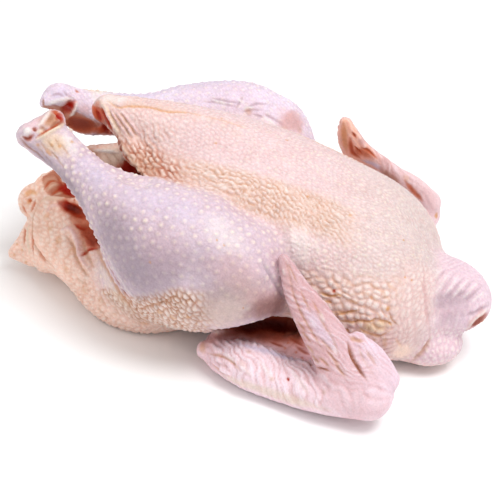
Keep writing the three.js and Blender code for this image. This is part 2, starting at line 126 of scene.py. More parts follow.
def smooth_stations(stations, steps=LIMB_STEPS):
    """Catmull-Rom through the stations."""
    s = np.array(stations, float)
    e = np.vstack([2 * s[0] - s[1], s, 2 * s[-1] - s[-2]])
    out = []
    for p0, p1, p2, p3 in zip(e, e[1:], e[2:], e[3:]):
        for t in np.arange(steps) / steps:
            quad = 2 * p0 - 5 * p1 + 4 * p2 - p3
            cube = 3 * p1 - p0 - 3 * p2 + p3
            out.append(0.5 * (2 * p1 + (p2 - p0) * t + quad * t * t + cube * t ** 3))
    return np.array(out + [s[-1]])


def limb_frame(stations, flat):
    """Rows of centre, half width, half thickness, tangent and thin direction along a limb."""
    s = smooth_stations(stations)
    along = np.gradient(s[:, :3], axis=0)
    along /= np.linalg.norm(along, axis=1, keepdims=True)
    n0 = np.array(flat, float)
    thin = n0 - along * (along @ n0)[:, None]
    thin /= np.linalg.norm(thin, axis=1, keepdims=True)
    return np.concatenate([s, along, thin], 1).astype(np.float32)


def on_path(p, path):
    """Each point's nearest stretch of a path, how far along the stretch it lies (0 to 1), and the
    square of its distance."""
    best = np.full(len(p), 1e9, np.float32)
    at = np.zeros(len(p), np.int32)
    part = np.zeros(len(p), np.float32)
    for i in range(len(path) - 1):
        ba = path[i + 1] - path[i]
        q = p - path[i]
        t = np.clip(q @ ba / max(float(ba @ ba), 1e-6), 0, 1)
        d = ((q - t[:, None] * ba) ** 2).sum(-1)
        near = d < best
        best = np.where(near, d, best)
        at = np.where(near, i, at)
        part = np.where(near, t, part)
    return at, part, best


def on_limb(p, rows):
    """Each point's place on a limb: interpolated row, and how far along it lies (0 to 1)."""
    at, part, _ = on_path(p, rows[:, :3])
    row = rows[at] + (rows[at + 1] - rows[at]) * part[:, None]
    return row, (at + part) / (len(rows) - 1)


def limb(p, stations, flat):
    rows = limb_frame(stations, flat)
    reach = rows[:, 3:5].max()
    low = rows[:, :3].min(0) - reach
    high = rows[:, :3].max(0) + reach
    box = np.sqrt((np.maximum(np.maximum(low - p, p - high), 0) ** 2).sum(-1))
    near = box < LIMB_REACH
    out = box + 1.0
    if not near.any():
        return out
    q = p[near]
    row, _ = on_limb(q, rows)
    q = q - row[:, :3]
    w, h = row[:, 3], row[:, 4]
    along = row[:, 5:8] / np.linalg.norm(row[:, 5:8], axis=1, keepdims=True)
    qa = (q * along).sum(-1)
    qn = (q * row[:, 8:11]).sum(-1)
    qm = np.sqrt(np.maximum((q * q).sum(-1) - qa * qa - qn * qn, 0))
    cap = np.minimum(w, h)
    k0 = np.sqrt((qa / cap) ** 2 + (qm / w) ** 2 + (qn / h) ** 2)
    k1 = np.sqrt((qa / cap ** 2) ** 2 + (qm / w ** 2) ** 2 + (qn / h ** 2) ** 2) + 1e-6
    out[near] = np.where(k0 < 0.25, -0.9 * cap, k0 * (k0 - 1) / k1)
    return out


# ---------- the bird ----------
# A limb's stations are rows of x, y, z, half width and half thickness. The last number of a
# smooth_min or smooth_max is how widely two forms run into each other. All in mm.
KEEL = [
    (KEEL_TIP_X, 4, KEEL_HEIGHT - 10, 9, 10), (-64, 4, 93, 15, 14), (-34, 5, 86, 21, 20),
    (-4, 5, 76, 25, 23), (26, 5, 65, 26, 26), (52, 4, 52, 27, 30),
]
VENT_LEDGE = [(-76, -2, 92, 6, 6), (-71, -10, 87, 6, 6), (-66, -17, 83, 5, 5)]


def torso(p):
    both = p.copy()
    both[..., 1] = np.sqrt(both[..., 1] ** 2 + CREST_ROUND ** 2)
    breast = ellipsoid(both, (22, 18, 46), (BREAST_LENGTH / 2, BREAST_HALF_WIDTH - 18, 41), 0.24)
    fore = ellipsoid(both, (58, 18, 38), (36, 37, 31))
    shoulder = ellipsoid(both, (60, 32, 27), (36, 25, 27))
    flank = ellipsoid(both, (-22, 17, 50), (60, 34, 44), 0.14)
    back = ellipsoid(both, (12, 0, 28), (88, BACK_HALF_WIDTH, 32))
    d = smooth_min(breast, fore, 18)
    d = smooth_min(d, shoulder, 14)
    d = smooth_min(d, flank, 16)
    d = smooth_min(d, limb(p, KEEL, UP), 12)
    d = smooth_min(d, limb(p, VENT_LEDGE, UP), 4)
    return smooth_min(d, back, 18)


RUMP_RIMS = (
    [(-62, 38, 60, 12, 10), (-82, 28, 58, 8, 7.5), (-102, 21, 55, 7.5, 7), (-115, 6, 46, 7, 7)],
    [(-62, -34, 60, 12, 10), (-82, -27, 55, 8, 7), (-100, -14, 48, 7, 7), (-112, -2, 42, 7, 7)],
)
RUMP_SLIT = [(-106, -20, 50, 3, 3), (-97, -27, 53, 5, 5), (-86, -33, 51, 4, 5)]


def rump(p):
    seat = ellipsoid(p, (-66, -3, 25), (50, 50, 29), 0.06)
    tail_root = ellipsoid(p, (-92, -4, 30), (28, 27, 26))
    left_bulge = ellipsoid(p, (-54, -30, 14), (35, 30, 20))
    d = smooth_min(seat, tail_root, 12)
    d = smooth_min(d, left_bulge, 8)
    for rim in RUMP_RIMS:
        d = smooth_min(d, limb(p, rim, (0, 1, 0.2)), 6)
    return smooth_max(d, -limb(p, RUMP_SLIT, UP), 2)


def flap(p, corners, thick):
    """A thin three-cornered flap of skin."""
    a, b, c = (vec(*q) for q in corners)
    face = np.cross(b - a, a - c)
    outside = 0
    edge_gap = 1e9
    for start, end in ((a, b), (b, c), (c, a)):
        side, q = end - start, p - start
        outside = outside + np.sign(q @ np.cross(side, face))
        t = np.clip(q @ side / float(side @ side), 0, 1)
        edge_gap = np.minimum(edge_gap, ((q - t[..., None] * side) ** 2).sum(-1))
    over = (p - a) @ face / np.linalg.norm(face)
    return np.sqrt(np.where(outside < 2, edge_gap, over ** 2)) - thick


TAIL = [(-92, -2, 26, 24, 22), (-108, -5, 24, 17, 15), (-116, -6, 20, 11, 11)]
TAIL_CURL = [(-121, 5, 41, 4, 4), (-115, 6, 50, 5, 5), (-106, 5, 52, 5, 5)]
TAIL_FLAP = ((-119, -8, 29), (-129.5, -15, 10.5), (-117, -19, 10))


def tail(p):
    lobe = ellipsoid(p, (-124, 4, 34), (9, 9, 10))
    low_bump = ellipsoid(p, (-110, -22, 14), (6, 5, 7))
    d = smooth_min(limb(p, TAIL, UP), lobe, 3)
    d = smooth_min(d, limb(p, TAIL_CURL, UP), 2)
    d = smooth_min(d, flap(p, TAIL_FLAP, FLAP_THICKNESS), 3)
    return smooth_min(d, low_bump, 2)


SIDE_HOLLOW = [(-79, -13, 71, 8, 8), (-70, -20, 74, 7, 7), (-64, -26, 76, 5, 5), (-59, -32, 79, 2, 2)]


def cavity(p):
    mouth, end = (CAVITY_MOUTH_X, 0, 70), (CAVITY_MOUTH_X + CAVITY_DEPTH, 0, 54)
    hollow = round_cone(p, mouth, end, CAVITY_MOUTH_RADIUS, CAVITY_END_RADIUS)
    arch = round_cone(p, (-112, 1, 79), (-70, 0, 84), 7, 7)
    cut_at_keel = ellipsoid(p, (-97, -5, 90), (11, 8, 13), 0.25)
    cuts = np.minimum(cut_at_keel, limb(p, SIDE_HOLLOW, UP))
    return smooth_min(smooth_min(hollow, arch, 6), cuts, 2)


LEFT_LEG = [
    (-112, -27, 92, HOCK_RADIUS - 1, HOCK_RADIUS - 1),
    (-105, -29, 89, SHANK_RADIUS + 0.5, SHANK_RADIUS + 0.5),
    (-96, -33, 85, SHANK_RADIUS, SHANK_RADIUS), (-84, -39, 79, 11.5, 11.5), (-70, -46, 74, 17.5, 17),
    (-58, -50, 69, 24, 22), (-42, -54, 61, 31, 27),
    (-24, -57, 55, DRUMSTICK_HALF_WIDTH, DRUMSTICK_HALF_DEPTH), (-6, -58, 52, 29, 25),
]
RIGHT_LEG = [
    (-117, 18, 91, 9, 9), (-107, 26, 82, HOCK_RADIUS, HOCK_RADIUS + 0.5), (-96, 34, 79, 11.5, 12),
    (-84, 41, 76.5, 12, 12), (-70, 48, 72.5, 16.5, 16.5), (-56, 53, 71, 22.5, 21.5),
    (-40, 58, 69, 28.5, 25),
    (-22, 60.5, 67.5, DRUMSTICK_HALF_WIDTH - 2, DRUMSTICK_HALF_DEPTH - 1.5), (-8, 61, 65, 29, 26),
]
KNEE_HEIGHT = {-1: 44, 1: 50}
HOCK_KNOBS = {                        # x, y, z and radius
    -1: [(-119, -33, 94.5, 6.5), (-109.5, -21, 99, 6)],
    1: [(-121, 13, 90, 5.5), (-117, 24, 91, 6), (-107, 22, 77, 7)],
}
LEG_FLAT = {-1: (0, -1, 0.3), 1: (0, 1, 0.3)}


def leg(p, stations, side):
    drumstick = limb(p, stations, LEG_FLAT[side])
    thigh = round_cone(p, (0, side * 50, KNEE_HEIGHT[side]), (-50, side * 34, 30), 24, 30)
    d = smooth_min(drumstick, thigh, 16)
    for *place, radius in HOCK_KNOBS[side]:
        d = smooth_min(d, ellipsoid(p, place, (radius,) * 3), 2.5)
    return d


LEFT_WING = {
    "upper_arm": [(70, -42, 26, 16, 15), (36, -57, 11, 13, 11), (-4, -62, 8, 11, 10)],
    "forearm": [(-12.5, -69, 10.5, 5, 4.5), (-5, -70, 10.5, 9, 7.5), (12, -77, 12, 12.5, 11),
                (32, -82, 11, 12.5, 9), (52, -86, 14, FOREARM_RADIUS, 11),
                (74, -88, 17, FOREARM_RADIUS, 11.5)],
    "hand": [(72, -88, 22, 14, 8), (60, -87, 27, 12.5, 7), (50, -82, 37, 11, 6), (41, -76, 45, 10, 5),
             (29, -69, 57, 7, 4), (20, -64.5, 70, WING_TIP_RADIUS, WING_TIP_RADIUS)],
    "thumb": [(80, -86, 24, 8, 6), (71, -82, 33, 8, 5), (62, -77, 39.5, 5, 4)],
}
RIGHT_WING = {
    "upper_arm": [(70, 44, 30, 16, 15), (40, 59, 24, 14, 13), (6, 70, 15, 11, 10)],
    "forearm": [(0, 73, 12, 9, 8), (26, 82, 14, 12, 11), (62, 89, 16, FOREARM_RADIUS - 1, 11),
                (86, 92, 21, FOREARM_RADIUS, 12)],
    "hand": [(86, 91, 28, 13, 9), (74, 87, 38, 12.5, 7), (60, 81, 49, 13, 6), (47, 75, 60, 13, 5),
             (39, 70, 72, 9.5, 4), (34.5, 66.5, 84, 4, WING_TIP_RADIUS)],
    "thumb": [(89, 88, 31, 8, 6), (81, 84, 42, 6, 4.5), (74, 80, 50, WING_TIP_RADIUS, WING_TIP_RADIUS)],
}


def wing_flats(side):
    """The thin direction of each of a wing's limbs."""
    return {"upper_arm": UP, "forearm": (0, 0.4 * side, 1), "hand": (0.5, side, 0.45),
            "thumb": (0.3, side, 0.4)}


def wing(p, bones, side):
    upper_arm, forearm, hand, thumb = (
        limb(p, bones[name], flat) for name, flat in wing_flats(side).items())
    d = smooth_min(upper_arm, forearm, 2)
    d = smooth_min(d, hand, 3)
    return smooth_min(d, thumb, 1.5)


ARMPITS = (
    [(-18, -77, 21, 2, 2), (-7, -75, 25, 5, 4), (6, -72, 29.5, 9, 7.5), (20, -67, 28, 9, 8),
     (44, -58, 23, 8, 6)],
    [(-6, -66, 23, 4, 4), (12, -60, 25, 8, 6), (40, -52, 23, 8, 6)],
    [(-12, 68, 24, 7, 5), (12, 62, 27, 7, 5), (40, 56, 32, 6, 5)],
)


def armpits(p):
    return np.minimum.reduce([limb(p, stations, UP) for stations in ARMPITS])


def neck(p):
    root = ellipsoid(p, (84, -9, 25), (28, 36, 25))
    stump = ellipsoid(p, (104, -9, 33), (25.5, 25, 17), 0.16, -0.12)
    loose_skin = ellipsoid(p, (97, -24, 13), (21, 20, 12))
    opening = ellipsoid(p, (129, -15, 18), (14, 14, 8))
    d = smooth_min(root, stump, 6)
    d = smooth_min(d, loose_skin, 5)
    return smooth_max(d, -opening, 2)


def chicken(p):
    d = smooth_min(torso(p), rump(p), 12)
    d = smooth_min(d, neck(p), 7)
    d = smooth_min(d, tail(p), 6)
    legs = np.minimum(leg(p, LEFT_LEG, -1), leg(p, RIGHT_LEG, 1))
    d = smooth_min(d, legs, 5)
    d = smooth_max(d, -cavity(p), 3)
    d = smooth_max(d, -armpits(p), 3)
    wings = np.minimum(wing(p, LEFT_WING, -1), wing(p, RIGHT_WING, 1))
    d = smooth_min(d, wings, 2.5)
    return smooth_max(d, -p[..., 2], TABLE_EDGE)


# ---------- meshing ----------
def sample(field, low, high, cell):
    """The field on a grid, worked out only in blocks near the surface."""
    low = np.array(low, float)
    n = np.ceil((np.array(high) - low) / (cell * BLOCK)).astype(int)
    coarse_cell = cell * BLOCK
    axes = [low[i] + coarse_cell * np.arange(n[i] + 1) for i in range(3)]
    centers = np.stack(np.meshgrid(*axes, indexing="ij"), -1).astype(np.float32)
    coarse = field(centers.reshape(-1, 3)).reshape(centers.shape[:3])
    active = np.argwhere(np.abs(coarse) < coarse_cell + cell)
    values = coarse
    for axis in range(3):
        values = np.repeat(values, BLOCK, axis)
    values = values.astype(np.float32)
    o = np.arange(BLOCK)
    offsets = np.stack(np.meshgrid(o, o, o, indexing="ij"), -1).reshape(-1, 3)
    index = (active[:, None, :] * BLOCK + offsets[None]).reshape(-1, 3)
    origin = low + (0.5 - BLOCK / 2) * cell
    points = (origin + index * cell).astype(np.float32)
    starts = range(0, len(points), POINTS_AT_ONCE)
    got = [field(points[s:s + POINTS_AT_ONCE]) for s in starts]
    values[index[:, 0], index[:, 1], index[:, 2]] = np.concatenate(got)
    return values, origin


def surface_nets(values, origin, cell):
    """Quads round the surface: one vertex in every cell that the surface crosses."""
    inside = values < 0
    shape = np.array(values.shape) - 1
    count = np.zeros(shape, np.uint8)
    corners = [(i, j, k) for i in (0, 1) for j in (0, 1) for k in (0, 1)]
    for i, j, k in corners:
        count += inside[i:i + shape[0], j:j + shape[1], k:k + shape[2]]
    cells = np.argwhere((count > 0) & (count < 8))
    ident = np.full(shape, -1, np.int32)
    ident[tuple(cells.T)] = np.arange(len(cells))
    total = np.zeros((len(cells), 3))
    hits = np.zeros(len(cells))
    for corner in corners:
        for axis in range(3):
            if corner[axis]:
                continue
            other = list(corner)
            other[axis] = 1
            va = values[tuple((cells + corner).T)]
            vb = values[tuple((cells + other).T)]
            crossed = (va < 0) != (vb < 0)
            place = np.tile(np.array(corner, float), (len(cells), 1))
            place[:, axis] = np.where(crossed, va / np.where(va == vb, 1, va - vb), 0)
            total += place * crossed[:, None]
            hits += crossed
    verts = origin + (cells + total / hits[:, None]) * cell
    quads = []
    for axis in range(3):
        lower, upper = [slice(1, -1)] * 3, [slice(1, -1)] * 3
        lower[axis], upper[axis] = slice(0, -1), slice(1, None)
        edges = np.argwhere(inside[tuple(lower)] != inside[tuple(upper)])
        base = np.ones(3, int)
        base[axis] = 0
        edges = edges + base
        u, w = (axis + 1) % 3, (axis + 2) % 3

        def cell_at(du, dw):
            c = edges.copy()
            c[:, u] -= du
            c[:, w] -= dw
            return ident[tuple(c.T)]
        ring = np.stack([cell_at(1, 1), cell_at(0, 1), cell_at(0, 0), cell_at(1, 0)], 1)
        quads.append(np.where(inside[tuple(edges.T)][:, None], ring, ring[:, ::-1]))
    return verts, np.concatenate(quads)


def onto_surface(field, verts, cap):
    """Moves the vertices onto the surface, each by no more than the cap at a time."""
    p = verts.astype(np.float32)
    h = GRADE_STEP
    for _ in range(2):
        grade = np.empty_like(p)
        for i in range(3):
            step = np.zeros(3, np.float32)
            step[i] = h
            grade[:, i] = (field(p + step) - field(p - step)) / (2 * h)
        move = np.clip(field(p) / ((grade ** 2).sum(1) + 1e-3), -cap, cap)
        p = p - grade * move[:, None]
    return p


def add_object(name, data):
    made = bpy.data.objects.new(name, data)
    bpy.context.scene.collection.objects.link(made)
    return made


def build_base():
    """The bird without its skin's relief: a closed mesh, eased and then split once more."""
    values, origin = sample(chicken, GRID_LOW, GRID_HIGH, CELL)
    verts, quads = surface_nets(values, origin, CELL)
    verts = onto_surface(chicken, verts, CELL / 2)
    mesh = bpy.data.meshes.new("base")
    mesh.from_pydata(verts.tolist(), [], quads.tolist())
    base = add_object("base", mesh)
    smoother = base.modifiers.new("smooth", "LAPLACIANSMOOTH")
    smoother.iterations = 2
    smoother.lambda_factor = 0.6
    finer = base.modifiers.new("finer", "SUBSURF")
    finer.levels = finer.render_levels = 1
    depsgraph = bpy.context.evaluated_depsgraph_get()
    fine = bpy.data.meshes.new_from_object(base.evaluated_get(depsgraph))
    bpy.data.objects.remove(base)
    return fine


def read_mesh(mesh):
    n = len(mesh.vertices)
    co = np.empty(n * 3, np.float32)
    mesh.vertices.foreach_get("co", co)
    no = np.empty(n * 3, np.float32)
    mesh.vertices.foreach_get("normal", no)
    return co.reshape(-1, 3), no.reshape(-1, 3)


def write_mesh(mesh, co):
    mesh.vertices.foreach_set("co", co.astype(np.float32).ravel())
    mesh.update()


# ---------- camera: the photograph's view ----------
AZIMUTH, ELEVATION, ROLL = 5.0, 32.0, 8.0     # degrees
DISTANCE = 790.0                              # mm
LENS, SENSOR, PICTURE = 110.0, 36.0, 500      # mm, mm, pixels
AIM = np.array([0.0, -30.0, 50.0])            # sculpt millimetres


def camera_axes():
    a, e, r = (math.radians(v) for v in (AZIMUTH, ELEVATION, ROLL))
    back = np.array([math.sin(a) * math.cos(e), -math.cos(a) * math.cos(e), math.sin(e)])
    level = np.array([math.cos(a), math.sin(a), 0])
    upright = np.cross(back, level)
    right = level * math.cos(r) + upright * math.sin(r)
    up = upright * math.cos(r) - level * math.sin(r)
    return right, up, back


def make_camera():
    right, up, back = (Vector(v) for v in camera_axes())
    data = bpy.data.cameras.new("camera")
    data.lens = LENS
    data.sensor_width = SENSOR
    camera = add_object("camera", data)
    eye = (AIM + camera_axes()[2] * DISTANCE) / 1000 + SCULPT_TO_FRAME
    turn = Matrix((right, up, back)).transposed().to_4x4()
    camera.matrix_world = Matrix.Translation(Vector(eye)) @ turn
    bpy.context.scene.camera = camera


# ---------- pattern tools ----------
def hashed(ix, iy, iz, seed):
    """A number from 0 to 1 for each triple of whole numbers, the same in every run."""
    a, b, c = (v.astype(np.int64).astype(np.uint32) for v in (ix, iy, iz))
    h = a * np.uint32(374761393) + b * np.uint32(668265263) + c * np.uint32(2246822519)
    h = h + np.uint32((seed * 3266489917) & 0xFFFFFFFF)
    h = (h ^ (h >> np.uint32(15))) * np.uint32(2246822519)
    h = (h ^ (h >> np.uint32(13))) * np.uint32(3266489917)
    h = h ^ (h >> np.uint32(16))
    return h.astype(np.float32) / 4294967296


def noise(p, size, seed=0):
    """Smooth value noise, -1 to 1; size is a number or one per axis (mm)."""
    q = p / np.asarray(size, np.float32)
    i = np.floor(q)
    f = q - i
    f = f * f * f * (f * (f * 6 - 15) + 10)
    out = np.zeros(len(p), np.float32)
    for dx in (0, 1):
        for dy in (0, 1):
            for dz in (0, 1):
                w = (f[:, 0] if dx else 1 - f[:, 0]) * (f[:, 1] if dy else 1 - f[:, 1])
                w = w * (f[:, 2] if dz else 1 - f[:, 2])
                out += w * hashed(i[:, 0] + dx, i[:, 1] + dy, i[:, 2] + dz, seed)
    return out * 2 - 1


def rough(p, size, seed=0, octaves=3):
    """Noise of several sizes, each half of the last in size and strength."""
    size = np.asarray(size, np.float32)
    total = sum(noise(p, size / 2 ** k, seed + k) * 0.5 ** k for k in range(octaves))
    return total / (2 - 2 * 0.5 ** octaves)


def ease(low, high, x):
    t = np.clip((x - low) / (high - low), 0, 1)
    return t * t * (3 - 2 * t)


def cells(u, v, long, wide, jitter=0.5, seed=0):
    """Staggered rows of cells. Gives mm from the nearest border, mm from the cell's centre (along,
    across), and a number for each cell."""
    x, y = u / long, v / wide
    row0 = np.floor(y)
    far = np.full(len(x), 99.0, np.float32)
    near = {"d": far.copy(), "x": far.copy(), "y": far.copy(), "id": far.copy()}
    next_ = {"d": far.copy(), "x": far.copy(), "y": far.copy()}
    for dr in (-1, 0, 1):
        row = row0 + dr
        shift = 0.5 * np.mod(row, 2)
        col0 = np.floor(x - shift)
        for dc in (-1, 0, 1):
            col = col0 + dc
            a = hashed(col, row, row * 0 + 7, seed)
            b = hashed(col, row, row * 0 + 13, seed)
            cx = col + 0.5 + shift + (a - 0.5) * jitter
            cy = row + 0.5 + (b - 0.5) * jitter
            d = (x - cx) ** 2 + (y - cy) ** 2
            first = d < near["d"]
            second = ~first & (d < next_["d"])
            for k, value in (("d", d), ("x", cx), ("y", cy)):
                next_[k] = np.where(first, near[k], np.where(second, value, next_[k]))
                near[k] = np.where(first, value, near[k])
            near["id"] = np.where(first, a, near["id"])
    gx, gy = next_["x"] - near["x"], next_["y"] - near["y"]
    gap = np.sqrt(gx ** 2 + gy ** 2) + 1e-6
    slope = np.sqrt((gx / gap / long) ** 2 + (gy / gap / wide) ** 2)
    border = (next_["d"] - near["d"]) / (2 * gap) / slope
    return border, (x - near["x"]) * long, (y - near["y"]) * wide, near["id"]


def turned(u, v, degrees):
    a = math.radians(degrees)
    return u * math.cos(a) + v * math.sin(a), v * math.cos(a) - u * math.sin(a)


def tree_of(points):
    tree = KDTree(len(points))
    for i, q in enumerate(points.tolist()):
        tree.insert(q, i)
    tree.balance()
    return tree


def nearest_spots(points, spots):
    """For each point, which spot is nearest and how far off it is."""
    tree = tree_of(spots)
    which = np.zeros(len(points), int)
    away = np.zeros(len(points), np.float32)
    for k, q in enumerate(points.tolist()):
        _, which[k], away[k] = tree.find(q)
    return which, away


def spread(points, spacing, rounds, seed):
    """Evenly spread spots on the skin, at least `spacing` (mm, one per point) apart, then eased
    towards the middles of their own patches as feather follicles are."""
    tree = tree_of(points)
    order = np.random.default_rng(seed).permutation(len(points))
    taken = np.zeros(len(points), bool)
    chosen = []
    for i in order.tolist():
        if taken[i]:
            continue
        chosen.append(i)
        for _, j, _ in tree.find_range(points[i].tolist(), float(spacing[i])):
            taken[j] = True
    spots = points[chosen].astype(float)
    for _ in range(rounds):
        which, _ = nearest_spots(points, spots)
        count = np.bincount(which, minlength=len(spots))[:, None]
        total = np.stack([np.bincount(which, points[:, k], len(spots)) for k in range(3)], 1)
        spots = np.where(count > 3, total / np.maximum(count, 1), spots)
    return spots


# ---------- colours: sRGB, 0 to 255, above 255 where lit skin is nearly white and for painted light ---
def srgb(*c):
    return np.array(c, np.float32)


def to_linear(c):
    c = np.clip(c / 255, 0, 1.09)
    return np.where(c <= 0.04045, c / 12.92, ((c + 0.055) / 1.055) ** 2.4)


SKIN_REFLECTS = 0.8        # the paint is as it looks in full light, which is brighter than one
PALE, MILK, ROSY = srgb(255, 242, 234), srgb(262, 246, 254), srgb(222, 166, 164)
# of the marks
PALETTE = {
    "white": srgb(255, 246, 242), "cream": srgb(248, 228, 205), "peach": srgb(238, 200, 174),
    "yellow": srgb(246, 212, 158), "orange": srgb(222, 150, 88), "tan": srgb(206, 150, 118),
    "brown": srgb(160, 92, 62), "rust": srgb(194, 82, 44), "blood": srgb(172, 18, 0),
    "ember": srgb(226, 88, 44), "dark": srgb(74, 8, 0), "wine": srgb(136, 56, 42),
    "rose": srgb(222, 176, 176), "pink": srgb(246, 206, 208), "lilac": srgb(230, 214, 236),
    "grey": srgb(168, 150, 162), "mauve": srgb(190, 158, 168), "taupe": srgb(184, 158, 152),
    # The first colour of the next row is painted light: brighter than lit skin, laid on shaded places.
    "flare": srgb(278, 248, 228), "umber": srgb(150, 104, 98), "sand": srgb(240, 214, 206),
}
RAW_COLORS = ("dark", "blood", "wine")          # a mark of these has a rusty rim
# of whole parts
COLORS = {
    # the rump's colour is raised past that of lit skin as painted light, since the rump lies in shade
    "trunk": srgb(240, 211, 215), "rump": srgb(276, 236, 216), "neck": srgb(248, 219, 233),
    "left_leg": srgb(236, 213, 225), "right_leg": srgb(254, 237, 255),
    "left_upper_arm": srgb(248, 184, 190), "left_forearm": srgb(266, 238, 248),
    "left_hand": srgb(218, 168, 171), "left_thumb": srgb(251, 227, 246),
    "right_upper_arm": srgb(230, 180, 186), "right_forearm": srgb(264, 234, 244),
    "right_hand": srgb(240, 196, 196), "right_thumb": srgb(256, 226, 230),
}
# of wide areas
WASHES = {
    "right_hand_inside": srgb(276, 212, 184), "flanks": srgb(250, 214, 196), "crop": srgb(226, 210, 207),
    "near_vent": srgb(250, 216, 206), "dots": srgb(255, 244, 222), "follicle": srgb(272, 256, 230),
    "follicle_ring_shade": srgb(186, 154, 164), "thigh_scales": srgb(252, 222, 206),
    "rump_top": srgb(250, 208, 190), "rump_under": srgb(278, 240, 224), "neck_under_light": srgb(276, 236, 222),
    "mouth": srgb(196, 120, 92), "hollow": srgb(132, 38, 14), "hollow_end_shade": srgb(70, 14, 4),
    "armpit": srgb(120, 40, 26),
}


# ---------- the skin's mesh ----------
CUT_FADE = 1.2             # mm over which the colour of a cut surface ends
TRUNK_AXIS_Z = 45.0
SHARP_BLEND, SOFT_BLEND = 1.6, 4.5

mesh = build_base()
P, N = read_mesh(mesh)
ALL = np.arange(len(P))
CAD_LOW, CAD_HIGH = (np.array(v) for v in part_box("chicken"))
SCULPT_TO_FRAME = (CAD_LOW + CAD_HIGH) / 2 - (P.min(0) + P.max(0)) / 2000   # same footprint
SCULPT_TO_FRAME[2] = 0.0
LIFT = np.zeros(len(P), np.float32)         # relief along the normal, mm


def shares(p):
    """How much each point belongs to each part, by how near each part's surface lies: once with
    clear borders and once blended widely. Also the distance of the nearest surface."""
    parts = {
        "trunk": torso(p), "rump": np.minimum(rump(p), tail(p)), "neck": neck(p),
        "left_leg": leg(p, LEFT_LEG, -1), "right_leg": leg(p, RIGHT_LEG, 1),
    }
    for side, name, bones in ((-1, "left", LEFT_WING), (1, "right", RIGHT_WING)):
        flats = wing_flats(side)
        for bone, stations in bones.items():
            parts[name + "_" + bone] = limb(p, stations, flats[bone])
    names = list(parts)
    d = np.stack([parts[n] for n in names], 1)
    out = []
    for blend in (SHARP_BLEND, SOFT_BLEND):
        w = np.exp(-(d - d.min(1, keepdims=True)) / blend)
        w /= w.sum(1, keepdims=True)
        out.append({n: w[:, i] for i, n in enumerate(names)})
    return out[0], out[1], d.min(1)


def limb_place(p, stations, flat):
    """mm along a limb and mm round it (0 at its outer middle)."""
    rows = limb_frame(stations, flat)
    row, t = on_limb(p, rows)
    steps = np.concatenate([[0], np.cumsum(np.linalg.norm(np.diff(rows[:, :3], axis=0), axis=1))])
    s = np.interp(t * (len(rows) - 1), np.arange(len(rows)), steps)
    q = p - row[:, :3]
    m = np.cross(row[:, 5:8], row[:, 8:11])
    angle = np.arctan2((q * m).sum(1), (q * row[:, 8:11]).sum(1))
    return s.astype(np.float32), (angle * (row[:, 3] + row[:, 4]) / 2).astype(np.float32)


SHARE, SOFT_SHARE, PART_GAP = shares(P)
IN_CAVITY = np.exp(-np.abs(cavity(P)) / CUT_FADE) * (PART_GAP < -1.0)
X, Y, Z = P[:, 0], P[:, 1], P[:, 2]
ROUND_TRUNK = BREAST_HALF_WIDTH * np.arctan2(np.abs(Y), Z - TRUNK_AXIS_Z)   # mm from the crest
PAINT = sum(SOFT_SHARE[n][:, None] * c for n, c in COLORS.items()).astype(np.float32)
PAINT += np.clip(rough(P, 16, 11), -1, 1)[:, None] * srgb(4, 8, 9) * 1.2     # wide mottling
PAINT += rough(P, 5, 21)[:, None] * srgb(3, 7, 7)                            # and finer


def tint(where, color, amount):
    """Mixes a colour into the skin's paint at the points of an index array."""
    PAINT[where] += (color - PAINT[where]) * np.clip(amount, 0, 1)[:, None]


def wash(name, amount):
    """Mixes one of the washes into the whole skin's paint."""
    tint(ALL, WASHES[name], amount)


# ---------- the skin's patterns ----------
# Domed cells between grooves. A row is: a cell's length and width mm, direction in degrees, jitter,
# seed, height mm, the groove's share of the width, the groove's colour and amount, the crest's colour
# and amount, the groove's painted width mm, and how round a cell is (0 to 1).
CELLS = {
    "scaly": (6.2, 2.5, 48, 0.6, 101, 1.0, 0.42, srgb(160, 64, 34), 1.0, PALE, 0.75, 0.95, 0),
    "ridged": (4.6, 2.3, 8, 0.9, 103, 0.85, 0.5, srgb(210, 152, 118), 0.7, PALE, 0.4, 0.6, 0.4),
    "pebbled": (4.3, 3.3, 12, 0.75, 105, 0.85, 0.5, srgb(226, 174, 148), 0.6, srgb(262, 248, 240), 0.7,
                0.6, 0.7),
    "front": (2.8, 4.2, 4, 0.8, 106, 0.5, 0.45, srgb(222, 180, 164), 0.35, PALE, 0.6, 0.6, 0.8),
    "calm": (3.4, 2.0, 28, 0.6, 107, 0.34, 0.5, srgb(222, 168, 156), 0.32, PALE, 0.35, 0.6, 0.3),
    "leg": (2.8, 1.5, 0, 0.8, 135, 0.22, 0.5, srgb(200, 170, 186), 0.35, PALE, 0, 0.5, 0),
    "thigh": (4.3, 2.4, -6, 0.8, 131, 1.15, 0.45, srgb(190, 122, 86), 1.0, PALE, 0.65, 0.65, 0.4),
    "rump_under": (5.4, 3.4, 62, 0.6, 141, 0.75, 0.45, srgb(212, 156, 130), 0.6, PALE, 0.5, 0.8, 0.4),
    "rump": (3.2, 2.2, 40, 0.7, 147, 0.3, 0.5, srgb(222, 150, 120), 0.35, PALE, 0.3, 0.6, 0),
    "neck_low": (2.6, 3.2, 0, 0.8, 173, 0.5, 0.5, srgb(226, 180, 182), 0.4, PALE, 0.7, 0.7, 0.7),
    "neck_high": (2.8, 2.8, 0, 0.8, 175, 0.2, 0.5, srgb(220, 182, 196), 0.3, PALE, 0.3, 0.7, 0.7),
}
